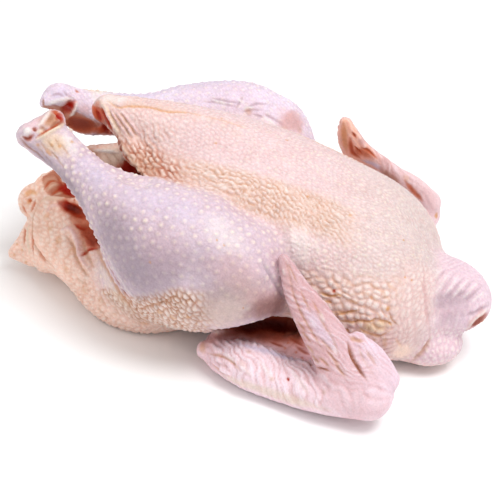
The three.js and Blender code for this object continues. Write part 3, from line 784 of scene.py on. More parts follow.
# Long wrinkles. A row is: spacing mm, direction in degrees, length mm, seed, height mm, the groove's
# colour and amount, the crest's colour and amount.
WRINKLES = {
    "scaly": (3.2, 50, 6, 102, 0.55, srgb(186, 84, 46), 0.7, PALE, 0.4),
    "ridged": (2.8, 4, 4.5, 104, 0.35, srgb(206, 150, 116), 0.5, PALE, 0.5),
    "keel": (2.3, 52, 9, 108, 0.65, srgb(222, 152, 118), 0.55, PALE, 0.5),
    "pebbled": (4.2, 22, 6, 109, 0.45, srgb(228, 166, 126), 0.5, PALE, 0.25),
    "rump_top": (5.0, 68, 14, 143, 0.4, srgb(226, 160, 130), 0.3, PALE, 0.3),
    "upper_arm": (4.0, 15, 9, 161, 0.6, srgb(150, 86, 80), 0.6, MILK, 0.2),
    "neck": (2.7, 60, 8, 171, 0.13, srgb(216, 174, 190), 0.2, MILK, 0.35),
}
# Wrinkles of the wings: spacing mm, direction in degrees, length mm, height mm, the groove's amount.
WING_WRINKLES = {
    "forearm": (3.6, 52, 7, 1.1, 0.55), "hand": (2.8, -26, 7, 0.55, 0.4), "thumb": (2.6, -12, 8, 0.4, 0.35),
}


def relief(mask, u, v, long, wide, degrees, jitter, seed, height, groove, crease, strength, crest,
           crest_amount, line_width, roundness):
    """Domed cells where the mask is above nought, over u and v (mm along the skin)."""
    w = np.flatnonzero(mask > 0.02)
    if not len(w):
        return
    along, across = turned(u[w], v[w], degrees)
    border, dx, dy, number = cells(along, across, long, wide, jitter, seed)
    dome = 1 - (1 - np.clip(border / (min(long, wide) * groove), 0, 1)) ** 2
    if roundness:
        ball = 1 - np.clip((dx / long) ** 2 + (dy / wide) ** 2, 0, 0.25) * 4
        dome = dome * (1 - roundness) + roundness * np.sqrt(ball * np.clip(dome * 1.6, 0, 1))
    m = mask[w]
    LIFT[w] += m * height * (dome - 0.65) * (0.7 + 0.6 * number)
    line = np.exp(-(border / line_width) ** 2)
    patchy = 0.65 + 0.5 * rough(P[w], 7, seed + 3)
    tint(w, crease, m * strength * line * patchy)
    tint(w, crest, m * crest_amount * dome * (1 - line))


def folds(mask, u, v, spacing, degrees, length, seed, height, crease, strength, crest, crest_amount):
    """Long wrinkles that run at an angle, bend and die out."""
    w = np.flatnonzero(mask > 0.02)
    if not len(w):
        return
    along, across = turned(u[w], v[w], degrees)
    flat = np.stack([along, across, np.full_like(along, seed * 3.7)], 1)
    bend = 0.75 * noise(flat, (length * 1.6, spacing * 3, 1), seed)
    waver = 0.3 * noise(flat, (length / 2, spacing, 1), seed + 1)
    phase = across / spacing + bend + waver
    row = np.floor(phase)
    wave = 0.5 - 0.5 * np.cos(2 * np.pi * phase)
    rows = np.stack([along, row * 10, flat[:, 2]], 1)
    power = ease(-0.55, 0.5, noise(rows, (length, 1, 1), seed + 2))
    m = mask[w]
    LIFT[w] += m * height * (wave ** 0.8 * (0.3 + 0.7 * power) - 0.35)
    tint(w, crease, m * strength * (1 - wave) ** 3 * (0.35 + 0.65 * power))
    tint(w, crest, m * crest_amount * wave ** 2 * (0.3 + 0.7 * power))


# ---------- where the trunk's patterns lie (mm) ----------
# x, y: the middle of the ridged band along each flank
FLANK_LINE = ((-84, 4), (-72, 12), (-60, 21), (-48, 29), (-35, 34), (-20, 36), (0, 36), (21, 34),
              (38, 32), (60, 34))
REAR = (-52, -26)          # x over which the scaly rear changes into the ridged band
REAR_TOP = (87, 95)        # z over which the scales end at the keel
BAND_END = (38, 60)        # x over which the band ends
BAND_FOOT = (50, 62)       # z over which the band begins
PEBBLES = (12, 30)         # x over which the pebbled side begins
PEBBLES_TOP = 60           # z
FRONT = (72, 84)           # x over which the pebbles get finer

wash("right_hand_inside", SHARE["right_hand"] * ease(-0.15, 0.35, -N[:, 1]) * ease(-66, -40, -X))

off_band = np.abs(Y) - np.interp(X, *zip(*FLANK_LINE))
trunk = SHARE["trunk"] * (1 - IN_CAVITY)
U = X + rough(P, 14, 31) * 2.6
V = ROUND_TRUNK + rough(P, 11, 37) * 2.2
rear = 1 - ease(*REAR, X)
band = ease(-13, -6, off_band) * (1 - ease(6, 13, off_band))
scaly = trunk * ease(-13, -5, off_band) * rear * (1 - ease(*REAR_TOP, Z))
ridged = trunk * band * (1 - rear) * (1 - ease(*BAND_END, X)) * ease(*BAND_FOOT, Z)
beads_top = PEBBLES_TOP + 0.02 * X + rough(P, 9, 41) * 2.5
off_crest = np.abs(Y) + 0.35 * (X - 60).clip(0)
pebbled = trunk * ease(*PEBBLES, X) * (1 - ease(-6, 2, Z - beads_top)) * ease(30, 38, off_crest)
front = ease(*FRONT, X)
calm = trunk * (1 - 0.95 * pebbled) * (1 - 0.9 * ridged) * (1 - 0.95 * scaly)
by_keel = trunk * (1 - ease(-62, -38, X)) * ease(5, 11, ROUND_TRUNK) * (1 - scaly)
wash("flanks", scaly * 0.75 + ridged * 0.5 + pebbled * 0.3)
wash("near_vent", trunk * (1 - ease(-66, -30, X)) * 0.45)
wash("crop", trunk * ease(20, 75, X) * (1 - pebbled) * 0.65)
slope = np.radians(12 + 22 * ease(-20, 45, X))
ridge_u = U * np.cos(slope) + V * np.sin(slope)
ridge_v = V * np.cos(slope) - U * np.sin(slope)
folds(scaly, U, V, *WRINKLES["scaly"])
relief(scaly, U, V, *CELLS["scaly"])
relief(ridged, ridge_u, ridge_v, *CELLS["ridged"])
folds(ridged, ridge_u, ridge_v, *WRINKLES["ridged"])
folds(by_keel, U, V, *WRINKLES["keel"])
relief(pebbled * (1 - front), U * 0.97, V, *CELLS["pebbled"])
folds(pebbled * (1 - front), U, V, *WRINKLES["pebbled"])
relief(pebbled * front, U, V, *CELLS["front"])
relief(calm, U, V, *CELLS["calm"])
_, dot_x, dot_y, number = cells(U, V, 3.6, 3.2, 0.8, 110)
dots = np.exp(-(dot_x ** 2 + dot_y ** 2) / 0.6) * ease(0.3, 0.7, number)
wash("dots", calm * dots * (0.15 + 0.5 * ease(-50, 30, X)))
LIFT += calm * dots * 0.15

# ---------- legs: feather follicles, fine skin, and scales below the thigh ----------
# x, z: the upper edge of the thigh's scales
THIGH_SCALES_TOP = ((-76, 22), (-65, 30), (-53, 36), (-41, 46), (-29, 54), (-14, 55), (-2, 46))
FOLLICLE_GAP, FOLLICLE_GAP_MORE = 2.9, 1.1      # at the shank, and what the thigh adds
FOLLICLE_HEIGHT = 1.0
FOLLICLE_RADIUS = 1.2
# the ring of painted shade round each follicle
RING_RADIUS, RING_WIDTH = 1.9, 0.6

for side, name, stations in ((-1, "left_leg", LEFT_LEG), (1, "right_leg", RIGHT_LEG)):
    share = SHARE[name] * (1 - IN_CAVITY)
    w = np.flatnonzero(share > 0.3)
    along, _ = limb_place(P[w], stations, LEG_FLAT[side])
    spots = spread(P[w], FOLLICLE_GAP + FOLLICLE_GAP_MORE * ease(12, 55, along), 2, 211)
    which, away = nearest_spots(P[w], spots)
    strong = 0.3 + 0.7 * hashed(which, which * 0, which * 0, 5)
    if side > 0:                                # fainter on the far leg's inner side
        strong = strong * (1 - 0.65 * ease(-0.5, 0.4, -N[w, 1]) * ease(60, 76, Z[w]))
    strong = strong * (1 - 0.8 * (1 - ease(14, 24, along))) * (1 - 0.35 * ease(60, 90, along))
    m = share[w] * strong
    spot = np.exp(-(away / FOLLICLE_RADIUS) ** 2)
    LIFT[w] += m * FOLLICLE_HEIGHT * spot
    tint(w, WASHES["follicle"], np.sqrt(m) * spot ** 1.3)
    # painted shade: a darker ring round each follicle's dome
    ring = np.exp(-((away - RING_RADIUS) / RING_WIDTH) ** 2)
    tint(w, WASHES["follicle_ring_shade"], m * 0.42 * ring)
    relief(share, X * 0.8 - Z * 0.6, X * 0.6 + Z * 0.8 + Y * 0.4, *CELLS["leg"])
    over_top = Z - np.interp(X, *zip(*THIGH_SCALES_TOP))
    low = share * (1 - ease(-3, 4, over_top)) * (1 - ease(-26, 2, X + rough(P, 8, 137) * 4))
    wash("thigh_scales", low * 0.7)
    scales_u = X * 0.72 - Z * 0.69 + rough(P, 10, 133) * 1.5
    scales_v = X * 0.69 + Z * 0.72 + rough(P, 10, 134) * 1.5
    relief(low, scales_u, scales_v, *CELLS["thigh"])

# ---------- rump ----------
seat = SHARE["rump"] * (1 - IN_CAVITY)
under = 1 - ease(22, 34, Z)
scales = seat * under * ease(-100, -86, X)
relief(scales, X + rough(P, 10, 145) * 2, Z * 1.1 + Y * 0.3, *CELLS["rump_under"])
wash("rump_top", seat * (1 - under) * 0.4)
# painted light: the rump's lower side lies in shade and is painted brighter than its skin
wash("rump_under", seat * under * 0.5)
folds(seat * (1 - under), X + Y * 0.4, Z, *WRINKLES["rump_top"])
relief(seat, X + Y * 0.5, Z + Y * 0.4, *CELLS["rump"])

# ---------- wings: wrinkles with finer ones between them ----------
FINER_SPACING, FINER_TURN, FINER_HEIGHT, FINER_STRENGTH = 0.45, 14, 0.22, 0.4

for side, who, bones in ((-1, "left", LEFT_WING), (1, "right", RIGHT_WING)):
    flats = wing_flats(side)
    for bone, (spacing, degrees, length, height, strength) in WING_WRINKLES.items():
        along, round_ = limb_place(P, bones[bone], flats[bone])
        share = SHARE[who + "_" + bone]
        if bone == "forearm":                   # smoother at the wrist
            share = share * (1 - 0.6 * ease(60, 85, along))
        share = share * ease(-6, 10, along) * (1 - 0.7 * ease(-0.1, 0.6, -N[:, 2]))
        folds(share, along, round_ * -side, spacing, degrees, length, 151 + side, height,
              ROSY, strength, MILK, 0.5)
        folds(share, along, round_ * -side, spacing * FINER_SPACING, degrees + FINER_TURN, 5, 157,
              height * FINER_HEIGHT, ROSY, strength * FINER_STRENGTH, MILK, 0.25)
    folds(SHARE[who + "_upper_arm"], X, Z, *WRINKLES["upper_arm"])

# ---------- neck ----------
nape = SHARE["neck"]
high = ease(24, 34, Z)
folds(nape * high, X, Y, *WRINKLES["neck"])
# painted light: the neck's underside near the floor, which the light hardly reaches, is painted brighter
wash("neck_under_light", nape * (1 - ease(3, 14, Z)) * 0.7)
relief(nape * (1 - high), X * 0.8 + Y * 0.4, Z, *CELLS["neck_low"])
relief(nape * high, X, Y, *CELLS["neck_high"])

# ---------- hollow body and armpits ----------
deep = IN_CAVITY * ease(0.2, 0.6, IN_CAVITY)
into = ease(-100, -78, X)
wash("mouth", deep * 0.95 * (1 - into))
# the red flesh inside the body, darkened with painted shade, and near black deeper in
wash("hollow", deep * into * 0.95)
wash("hollow_end_shade", deep * ease(-84, -60, X) * 0.95)
# painted shade where the wings meet the body
pit = np.exp(-np.abs(armpits(P)) / CUT_FADE) * (1 - SHARE["left_forearm"]) * (1 - SHARE["right_forearm"])
pit *= ease(-14, -2, X) * (1 - ease(-2.5, -0.8, PART_GAP))
wash("armpit", pit * 0.9)

# ---------- marks seen in the photograph, painted shade and light among them, drawn onto the skin ---
SKIN_TREE = BVHTree.FromPolygons(P.tolist(), [tuple(f.vertices) for f in mesh.polygons])
WOBBLE = np.stack([rough(P, 4.5, 401 + k, 2) for k in range(3)], 1) * 0.55     # mm
TRACE_STEPS = 5            # stretches between two points of a path
EDGE_JUMP = 6              # mm between two spots that breaks a path
STROKE_REACH = 2.6         # widths to which a stroke has an effect
RIM_WIDTH, RIM_AMOUNT = 1.45, 0.75


def skin_under(x, y):
    """The skin's point and normal under a point of the photograph, or Nones beside the bird."""
    right, up, back = camera_axes()
    focal = LENS / SENSOR * PICTURE
    ray = right * (x - PICTURE / 2) / focal - up * (y - PICTURE / 2) / focal - back
    eye = AIM + back * DISTANCE
    return SKIN_TREE.ray_cast(Vector(eye), Vector(ray).normalized(), 2000)[:2]


def trace(path):
    """A path of picture points laid on the skin: runs of points and normals, broken at edges."""
    if len(path) > 1:
        path = smooth_stations([(x, y, 0) for x, y in path], TRACE_STEPS)[:, :2]
    runs, last = [], None
    for x, y in path:
        spot, normal = skin_under(x, y)
        if spot is None:
            last = None
            continue
        if last is None or (spot - last).length > EDGE_JUMP:
            runs.append([])
        runs[-1].append((*spot, *normal))
        last = spot
    return [np.array(run, np.float32) for run in runs]


def mirrored(run):
    """The same run on the bird's other side."""
    out = []
    for row in run.tolist():
        spot, normal, _, _ = SKIN_TREE.find_nearest(Vector((row[0], -row[1], row[2])))
        out.append((*spot, *normal))
    return np.array(out, np.float32)


def lay(run, width, lift, color, amount, parts=()):
    """One stroke: raises or sinks the skin and tints it, thinning out towards its ends."""
    reach = STROKE_REACH * width
    low, high = run[:, :3].min(0) - reach - 1, run[:, :3].max(0) + reach + 1
    w = np.flatnonzero(((P > low) & (P < high)).all(1))
    if not len(w):
        return
    q = P[w] + WOBBLE[w] * min(1.0, 0.35 + width / 3)
    if len(run) > 1:
        at, part, best = on_path(q, run[:, :3])
        along = (at + part).astype(np.float32) / (len(run) - 1)
        normal = run[at, 3:]
    else:
        best = ((q - run[0, :3]) ** 2).sum(-1)
        along = np.full(len(w), 0.5, np.float32)
        normal = run[0, 3:]
    ends = ease(-0.05, 0.3, along) * ease(-0.05, 0.3, 1 - along)
    fall = np.exp(-(best / (width * (0.45 + 0.55 * ends)) ** 2) ** 1.6) * (0.3 + 0.7 * ends)
    fall *= ease(-0.2, 0.3, (N[w] * normal).sum(1))
    if parts:
        fall *= sum(SHARE[n][w] for n in parts)
    LIFT[w] += lift * fall
    tint(w, PALETTE[color], amount * fall)


def draw(marks, mirror=False):
    """Draws a table of marks, on both sides of the bird if mirror is true."""
    for row in marks.values():
        look, *paths = row.split("|")
        width, lift, color, amount, *parts = look.split()
        width, lift, amount = float(width), float(lift), float(amount)
        for path in paths:
            points = [tuple(float(v) for v in point.split(",")) for point in path.split()]
            for run in trace(points):
                if color in RAW_COLORS:
                    lay(run, width * RIM_WIDTH, 0, "rust", amount * RIM_AMOUNT, parts)
                lay(run, width, lift, color, amount, parts)
                if mirror:
                    lay(mirrored(run), width, lift, color, amount)


# A row is: width mm, lift mm, colour, amount and the parts that the mark keeps to (if any), and then
# its paths, each after a |. A path is points x,y of the photograph (500 x 500), listed here and laid
# on the skin from the photograph's view. First come the marks that the bird has on both sides,
# then those of the side that shows.
MARKS_BOTH = {
    "shank_skin": "5.4 0 yellow 0.5 | 42,147 54,142 66,154",
    "shank_pale": "3.0 0 white 0.5 | 66,132 70,146 78,158",
    "calf_shade": "13.0 0 grey 0.62 left_leg | 98,205 118,245 144,285",
    "calf_shade_low": "11.0 0 grey 0.35 left_leg | 130,285 190,264 240,292",
    "knee_shade": "11.0 0 taupe 0.6 left_leg | 200,316 236,300 262,285",
    "calf_lilac": "8.0 0 lilac 0.5 left_leg | 80,158 120,190 170,205 205,218",
    # painted shade over the middle of the calf, carrying on the calf's shade
    "calf_mid_shade": "10.0 0 mauve 0.35 left_leg | 140,236 165,252 195,262",
    # the knee's warmer rose skin, partly painted shade where the knee turns from the light
    "knee_warm": "9.0 0 rose 0.4 left_leg | 210,262 236,272 258,284",
    "knee_beige": "9.0 0 sand 0.6 left_leg | 204,322 226,314 246,304",
    # painted highlight along the leg's lit crest
    "leg_highlight": "7.5 0 white 0.4 left_leg | 206,218 224,234 240,252",
    "flank_shade": "7.0 0 tan 0.4 trunk | 130,152 142,166 160,178",
    "knee_web": "5.0 0 rose 0.5 left_leg | 240,300 262,296 280,304",
    "thigh_orange": (
        "1.3 0 orange 0.5 left_leg | 115,315 | 160,312 | 169,317 176,318 | 188,317 | 138,322 150,325"),
    "keel_flush": "3.5 0 peach 0.15 trunk | 112,100 170,108 240,124",
}

MARKS = {
    # near hock: cut joint, cartilage, the skin's edge
    "hock_meat": "5.0 -0.6 tan 0.9 | 42,127 50,118 60,124",
    "hock_meat_dark": "1.2 -0.4 brown 0.55 | 50,128 57,120 | 40,126 46,132 | 58,127 64,121",
    "hock_meat_shade": "2.0 -0.5 brown 0.4 | 54,127 62,121 | 46,121 52,113",
    "hock_fat": "1.6 0.5 cream 0.9 | 41,132",
    "hock_strip": "1.3 1.0 white 0.95 | 38,127 44,119 50,110",
    "hock_face": "3.4 0 pink 0.6 | 21,128 34,122 46,114",
    "hock_ball": "2.2 2.6 white 0.95 | 28,132",
    "hock_ball_ring": "0.8 -0.6 wine 0.7 | 23,137 28,139 34,135 | 34,127 36,132",
    "hock_rim": "1.2 1.5 cream 1.0 | 35,141 50,132 65,124 70,131",
    "hock_rim_under": "0.8 -1.0 rust 0.8 | 36,138 50,129 64,120",
    "shank_orange": "0.9 0.2 orange 0.55 | 38,145 | 52,145 | 60,146 | 72,142 | 46,150 52,156",
    "shank_creases": (
        "0.5 -0.3 tan 0.45 | 40,142 48,152 | 47,139 56,152 | 54,137 60,147 | 44,146 60,160 | 52,152 "
        "66,170 | 58,140 70,156 | 38,147 52,163"),
    "hock_streak": "0.8 -0.4 brown 0.6 | 20,138 28,147 38,154 50,166",
    # painted shade along the leg's lower left edge
    "shank_under_shade": "3.6 0 grey 0.7 left_leg | 26,143 46,160 66,180 80,200 90,222",
    # far hock
    "far_ball": "5.0 0.3 lilac 0.85 | 55,92 66,98",
    "far_ball_rim": "1.3 0.7 white 0.8 | 46,105 58,101 76,97",
    "far_ball_edge": "0.8 -0.4 brown 0.6 | 43,98 43,104 45,109",
    "far_pit": "2.8 -1.6 blood 1.0 | 58,117 67,110 75,103",
    "far_pit_meat": "1.8 -0.5 rust 0.8 | 51,109 58,112",
    "far_band": "1.0 0.8 white 0.9 | 77,100 75,110 67,119",
    "far_spot": "1.3 -0.3 rust 0.6 | 77,91",
    "far_ball_folds": "0.8 -0.4 mauve 0.6 | 50,96 58,94 64,97 | 62,90 68,96 74,98 | 52,104 60,107",
    "far_shade": "5.6 -0.6 rust 0.9 right_leg | 64,123 78,124 96,125",
    "far_shade_deep": "4.4 0 wine 0.75 right_leg | 66,123 80,124 94,125",
    # painted reflected light on the far shank's lower edge
    "far_bounce_light": "1.8 0.5 lilac 0.9 right_leg | 66,134 80,135 98,134",
    "far_under": "3.5 0 rose 0.5 right_leg | 78,112 94,108",
    # keel's tip: cut skin with the flesh below
    "keel_inside": "6.0 0 ember 0.95 | 97,106 101,121 109,136",
    "keel_inside_deep": "1.4 -0.7 blood 0.7 | 97,110 101,122 109,134 | 102,109 107,121 113,133",
    "keel_outer": "1.5 0 tan 0.7 trunk | 92,104 90,116 92,128 96,136",
    "keel_edge": "1.2 0.8 cream 0.9 | 100,100 108,113 115,127 120,137",
    "keel_tip_crest": "3.5 0 white 0.6 | 96,98 112,98 130,100",
    "keel_folds": (
        "0.8 0.7 pink 0.5 | 103,103 118,135 | 109,107 128,138 | 114,110 136,138 | 122,112 142,137"),
    "keel_fold_lines": (
        "0.6 -0.4 orange 0.35 | 101,106 114,135 | 106,105 123,137 | 112,109 132,139 | 118,110 139,138"),
    "keel_crease": "0.8 -0.55 orange 0.5 | 107,101 118,107 133,106 150,107 165,111 185,112 200,115",
    "keel_crease_faint": "0.7 -0.2 orange 0.22 | 200,115 225,121 250,130",
    "keel_crest_light": "5.0 0 white 0.7 trunk | 200,102 240,114 290,130",
    # vent: the body's cut edge, the far lip and the hollow
    "vent_edge": "1.2 0.9 cream 0.5 trunk | 119,138 128,154 138,168 150,180",
    "vent_edge_dark": "1.0 -0.6 rust 0.6 trunk | 114,137 122,152 132,168 142,180",
    # the far lip's pale skin, painted brighter than its skin as painted light, since it lies in shade under
    # the keel
    "far_lip": "6.4 0 flare 1.0 trunk rump | 82,152 104,156 124,159",
    # painted highlight along the far lip's top edge, over a slight ridge
    "far_lip_highlight": "1.1 0.5 white 0.8 trunk rump | 90,150 106,151 122,153",
    "far_lip_lines": "0.6 -0.2 tan 0.35 trunk rump | 94,153 100,162 | 104,153 112,164 | 112,153 120,163",
    "far_lip_red": "2.2 0 rust 0.7 trunk rump | 98,164 108,166 116,168",
    # painted shadow: the body's hollow seen past the leg, painted dark red and near black at its core
    "hollow_shadow": "5.0 0 blood 0.9 trunk rump | 120,167 134,172 142,177",
    "hollow_core_shadow": "3.5 0 dark 0.9 trunk rump | 122,170 138,175",
    "calf_top": "7.0 -4.0 white 0.1 left_leg | 104,166 122,172 142,178 160,183",
    # rump and tail
    "curl": "3.4 0.4 peach 0.5 rump | 46,190 50,182 60,182",
    "curl_lines": (
        "0.8 -0.5 rust 0.75 rump | 44,190 50,182 58,181 | 50,196 58,190 64,186 | 56,176 64,186 74,200"),
    "curl_crests": "0.9 0.5 peach 0.8 rump | 47,192 53,186 61,184 | 54,196 64,192 | 60,178 68,190",
    "lobe_ring": "1.5 -0.2 orange 0.55 rump | 24,196 30,192 38,194 | 28,204 31,198",
    "lobe_spot": "1.2 -0.5 rust 0.7 rump | 30,200",
    "lobe_edge": "1.0 -0.4 rust 0.5 rump | 22,206 27,214 | 36,200 31,212",
    "slit_lip": "1.3 1.0 peach 0.8 rump | 38,204 47,199 62,199 78,207 92,220",
    "slit": "2.6 -1.4 blood 1.0 rump | 60,203 74,209 90,220",
    "slit_deep": "1.6 -0.6 dark 0.75 rump | 64,205 78,211 92,221",
    "leg_shadow": "4.0 -0.4 blood 0.85 rump | 60,184 70,192 82,206 90,224 98,246",
    # painted light: a cream stroke that lightens the shade along the leg's low edge
    "leg_shadow_low": "4.2 0 cream 0.4 left_leg | 97,260 107,279 118,297 130,311",
    "leg_shadow_side": "2.4 -0.5 tan 0.7 rump left_leg | 94,242 102,260 112,279 122,296 134,311",
    "leg_fold": "1.0 -2.6 rust 0.75 rump left_leg | 96,236 104,256 117,281 127,296 139,309",
    "leg_fold_lip": "1.0 0.8 white 0.5 left_leg | 103,243 111,260 122,280 132,294 143,306",
    "leg_fold_end": "0.7 -0.6 tan 0.7 left_leg | 139,309 150,306 165,301 180,294",
    "second_red": "3.6 -0.5 wine 0.8 rump | 80,226 92,234 97,248",
    "second_red_line": "0.9 -0.8 blood 0.7 rump | 74,224 84,228 96,224 | 82,256 88,250 98,248",
    "rump_ridge": "1.3 1.5 pink 0.6 rump | 60,230 70,229 77,240 80,256 90,272",
    "rump_ridge_side": "1.0 -0.9 tan 0.6 rump | 66,236 73,246 77,260 86,276 | 83,238 86,252 94,268",
    "rump_ridge_low": "1.0 0.5 pink 0.4 rump | 90,272 100,292 112,312 | 46,214 52,206 62,206",
    "rump_bulge_edge": "1.3 -0.7 tan 0.55 rump | 38,204 33,218 32,236 36,248 44,258 54,268",
    "rump_wrinkles": (
        "0.8 -0.35 tan 0.35 rump | 75,278 88,286 | 80,268 90,278 | 98,292 108,310 | 108,294 120,316 | "
        "96,306 112,324"),
    "rump_mottle": (
        "2.0 0 orange 0.22 rump | 46,216 | 58,240 | 66,270 | 50,228 | 84,290 | 100,300 | 72,250"),
    "red_under_slit": "5.0 0 rust 0.6 rump | 70,208 84,222 94,240",
    "flap_ridge": "1.1 0.8 cream 0.75 rump | 30,220 28,236 30,256",
    "flap_groove": "0.8 -0.5 rust 0.55 rump | 33,222 32,240 34,258 | 25,226 24,244",
    "flap_specks": "0.8 0 orange 0.45 rump | 22,250 | 17,244 | 14,255 | 26,262",
    "low_lobe": "2.2 0 rust 0.4 rump | 38,252 46,262",
    # near wing
    "hand_grooves": (
        "0.55 -0.6 tan 0.6 left_hand | 285,258 290,275 292,290 300,312 | 294,295 302,315 312,332 "
        "324,352 | 300,290 312,316 | 288,262 298,284 | 316,312 330,334 340,356 | 312,300 324,320"),
    "hand_web": (
        "0.7 -0.6 tan 0.6 left_hand | 296,320 306,332 | 300,330 311,343 | 303,342 314,354 | 308,352 "
        "320,364 | 320,338 332,352 | 326,350 340,366 | 334,362 346,378 | 318,356 330,368"),
    "hand_rust": "3.0 0 rose 0.6 left_hand | 283,260 288,280 294,296",
    "hand_lights": (
        "0.9 0.4 white 0.55 left_hand | 283,268 285,276 | 320,312 324,322 | 310,318 316,328 | 330,344 "
        "338,356"),
    "hand_crack": "0.5 -0.8 brown 0.85 | 303,360 316,367 330,371",
    "hand_lilac": "3.0 0 lilac 0.5 left_hand | 304,306 318,326 338,352",
    "thumb_groove": "1.0 -1.9 brown 0.85 | 348,342 354,360 366,379",
    "thumb_top": "1.2 -0.6 tan 0.7 | 349,336 356,340 364,341",
    "thumb_lines": "0.7 -0.4 tan 0.5 left_thumb | 358,346 366,364 376,378 | 366,350 376,366",
    "forearm_folds": (
        "0.9 -0.7 rose 0.45 left_forearm | 205,352 225,357 236,365 246,375 | 215,362 228,368 | 206,360 "
        "220,372 232,378 | 345,385 352,400 | 360,392 370,398 | 372,380 384,392"),
    "forearm_crease": "0.7 -0.4 orange 0.35 left_forearm | 208,353 226,358 240,370 | 212,365 222,374",
    "forearm_crests": (
        "1.3 0.4 white 0.4 left_forearm | 238,358 252,378 | 258,358 276,384 | 290,368 310,396 | 222,352 "
        "236,362"),
    "forearm_slit": "0.5 -0.7 blood 0.9 | 287,377 289,381",
    "forearm_tan": "1.2 0 tan 0.35 left_forearm | 272,379 | 248,352 | 324,392",
    "forearm_edge": "2.0 0 lilac 0.8 left_forearm | 234,343 262,350 284,357 304,362",
    "forearm_under": "2.6 0 cream 0.55 left_forearm | 216,373 240,383 285,398 330,411",
    "elbow": "3.2 0 orange 0.4 left_forearm | 199,348 206,346",
    "elbow_red": "3.0 0 rust 0.2 left_forearm | 204,342 214,340",
    # the hollow between wing and thigh, darkened with painted shadow
    # painted shadow in the gap, near black at its middle and brown towards its rims
    "gap_shadow": "4.4 0 dark 1.0 left_upper_arm trunk left_leg rump | 228,332 252,326 278,327 304,334",
    "gap_brown_shadow": "4.2 0 wine 0.5 left_upper_arm trunk rump | 212,337 240,336 300,338",
    "gap_arm": "5.0 0 rose 0.75 left_upper_arm | 258,346 286,353 314,363",
    "gap_specks": "0.7 -0.3 rust 0.6 left_upper_arm | 285,348 | 296,352 | 288,343 | 302,358",
    "gap_lines": (
        "0.7 -0.5 wine 0.5 left_upper_arm | 296,346 304,352 314,356 | 270,342 284,347 | 288,336 300,344 "
        "312,350"),
    "web": "6.5 0 umber 0.75 trunk left_leg | 248,315 264,308 280,306 294,312",
    # painted shade in the crease between thigh and body, over a real groove
    "web_crevice_shade": "1.1 -0.9 grey 0.4 trunk left_leg | 262,262 272,278 282,294 290,308",
    # breast
    "deep_grooves": (
        "0.6 -0.8 orange 0.75 trunk | 335,315 347,313 360,310 | 338,321 348,322 360,322 | 322,300 "
        "332,303 | 346,330 360,338 376,340 | 318,292 330,296 342,294 | 352,318 366,322 380,318"),
    "stain": "3.4 0 yellow 0.5 trunk | 362,328 376,328 390,325",
    "stain_edge": "0.6 -0.4 orange 0.7 trunk | 358,326 366,333 380,336 392,329 | 392,327 388,322 378,321",
    "stain_spot": "1.3 -0.2 orange 0.8 trunk | 388,309",
    "stain_line": "0.5 -0.5 tan 0.75 trunk | 389,312 392,320 399,326",
    "stain_drip": "1.3 0 orange 0.6 trunk | 385,337 385,349",
    "cobble_orange": (
        "0.8 0 orange 0.4 trunk | 330,312 345,312 | 350,300 358,304 | 372,298 | 340,296 | 395,338 "
        "402,348"),
    "cobble_red": "0.6 -0.3 blood 0.9 trunk | 334,291",
    "corner_red": "1.4 -0.4 rust 0.75 trunk | 402,362 410,360",
    # painted light on the shaded low breast by the neck's base
    "breast_low_light": "5.5 0 flare 1.0 trunk | 394,346 406,354 416,348",
    "junction": "1.2 -1.1 tan 0.55 trunk neck | 430,338 424,350 414,360 396,372",
    "junction_up": "1.4 -0.7 rose 0.6 trunk neck | 424,270 426,300 430,336",
    "specks": (
        "0.6 -0.2 orange 0.8 trunk | 216,143 | 308,196 | 350,215 | 405,277 | 222,118 | 287,140 | "
        "412,280 | 404,240"),
    "leg_specks": "0.55 -0.2 orange 0.7 left_leg | 217,240 | 224,245 | 243,308 | 150,262",
    "dome": "10.5 3.2 white 0.5 trunk | 282,248 312,250",
    # far wing
    "far_tip": "2.2 0 orange 0.6 right_hand | 344,122 344,138 346,152",
    "far_red": "1.7 -0.6 rust 0.85 right_hand | 350,138 352,152 360,158",
    "far_slits": (
        "0.8 -0.7 rust 0.9 right_hand | 352,132 356,138 | 362,148 369,151 377,158 | 354,146 362,154"),
    "far_red_patch": "3.0 0 rust 0.6 right_hand | 352,154 362,152 374,157",
    "far_light": "1.7 0.3 lilac 0.9 right_hand | 362,160 372,163 382,170",
    "far_pale_edge": "2.4 0 rose 0.7 right_hand | 360,138 376,150 390,166",
    "far_grey": "2.0 0 brown 0.5 right_hand | 380,168 392,178 400,184",
    "far_thumb_tip": "1.8 0 orange 0.7 right_thumb | 402,176 409,181",
    "far_thumb_stripe": "1.4 -0.4 rust 0.75 | 405,181 414,192 423,201",
    "far_thumb_pink": "3.0 0 pink 0.7 | 418,186 428,196 434,208",
    "far_wrist_spot": "1.4 0 orange 0.7 | 436,213 437,218",
    # far leg
    "far_leg_wrinkles": (
        "0.8 -0.45 mauve 0.6 right_leg | 203,101 220,103 235,107 | 210,98 226,101 240,103 | 236,108 "
        "240,102 243,96 | 243,112 252,110 262,110 | 246,108 256,104 268,104 | 262,112 276,120 288,128 | "
        "252,114 266,118"),
    "far_leg_lights": (
        "1.0 0.4 white 0.7 right_leg | 242,109 254,107 | 262,116 276,125 | 212,100 228,104 | 238,99 "
        "244,104"),
    "far_leg_patches": "2.2 0 tan 0.45 right_leg | 285,128 | 290,118 | 300,130 | 248,112",
    "far_leg_edge": "9.0 0 rose 0.95 right_leg | 284,112 294,124 300,138",
    # neck
    # painted shade under the neck's bulge, over a real dip
    "neck_dip_shade": "4.0 -1.4 grey 0.4 neck | 428,304 444,301 460,298 478,294",
    "neck_shade": "9.0 0 mauve 0.4 neck | 432,306 452,304 474,300",
    "neck_fold": "1.0 -0.7 mauve 0.7 neck | 466,316 478,311 492,304",
    "neck_opening": "3.0 0 wine 0.75 | 470,328 480,320 491,313",
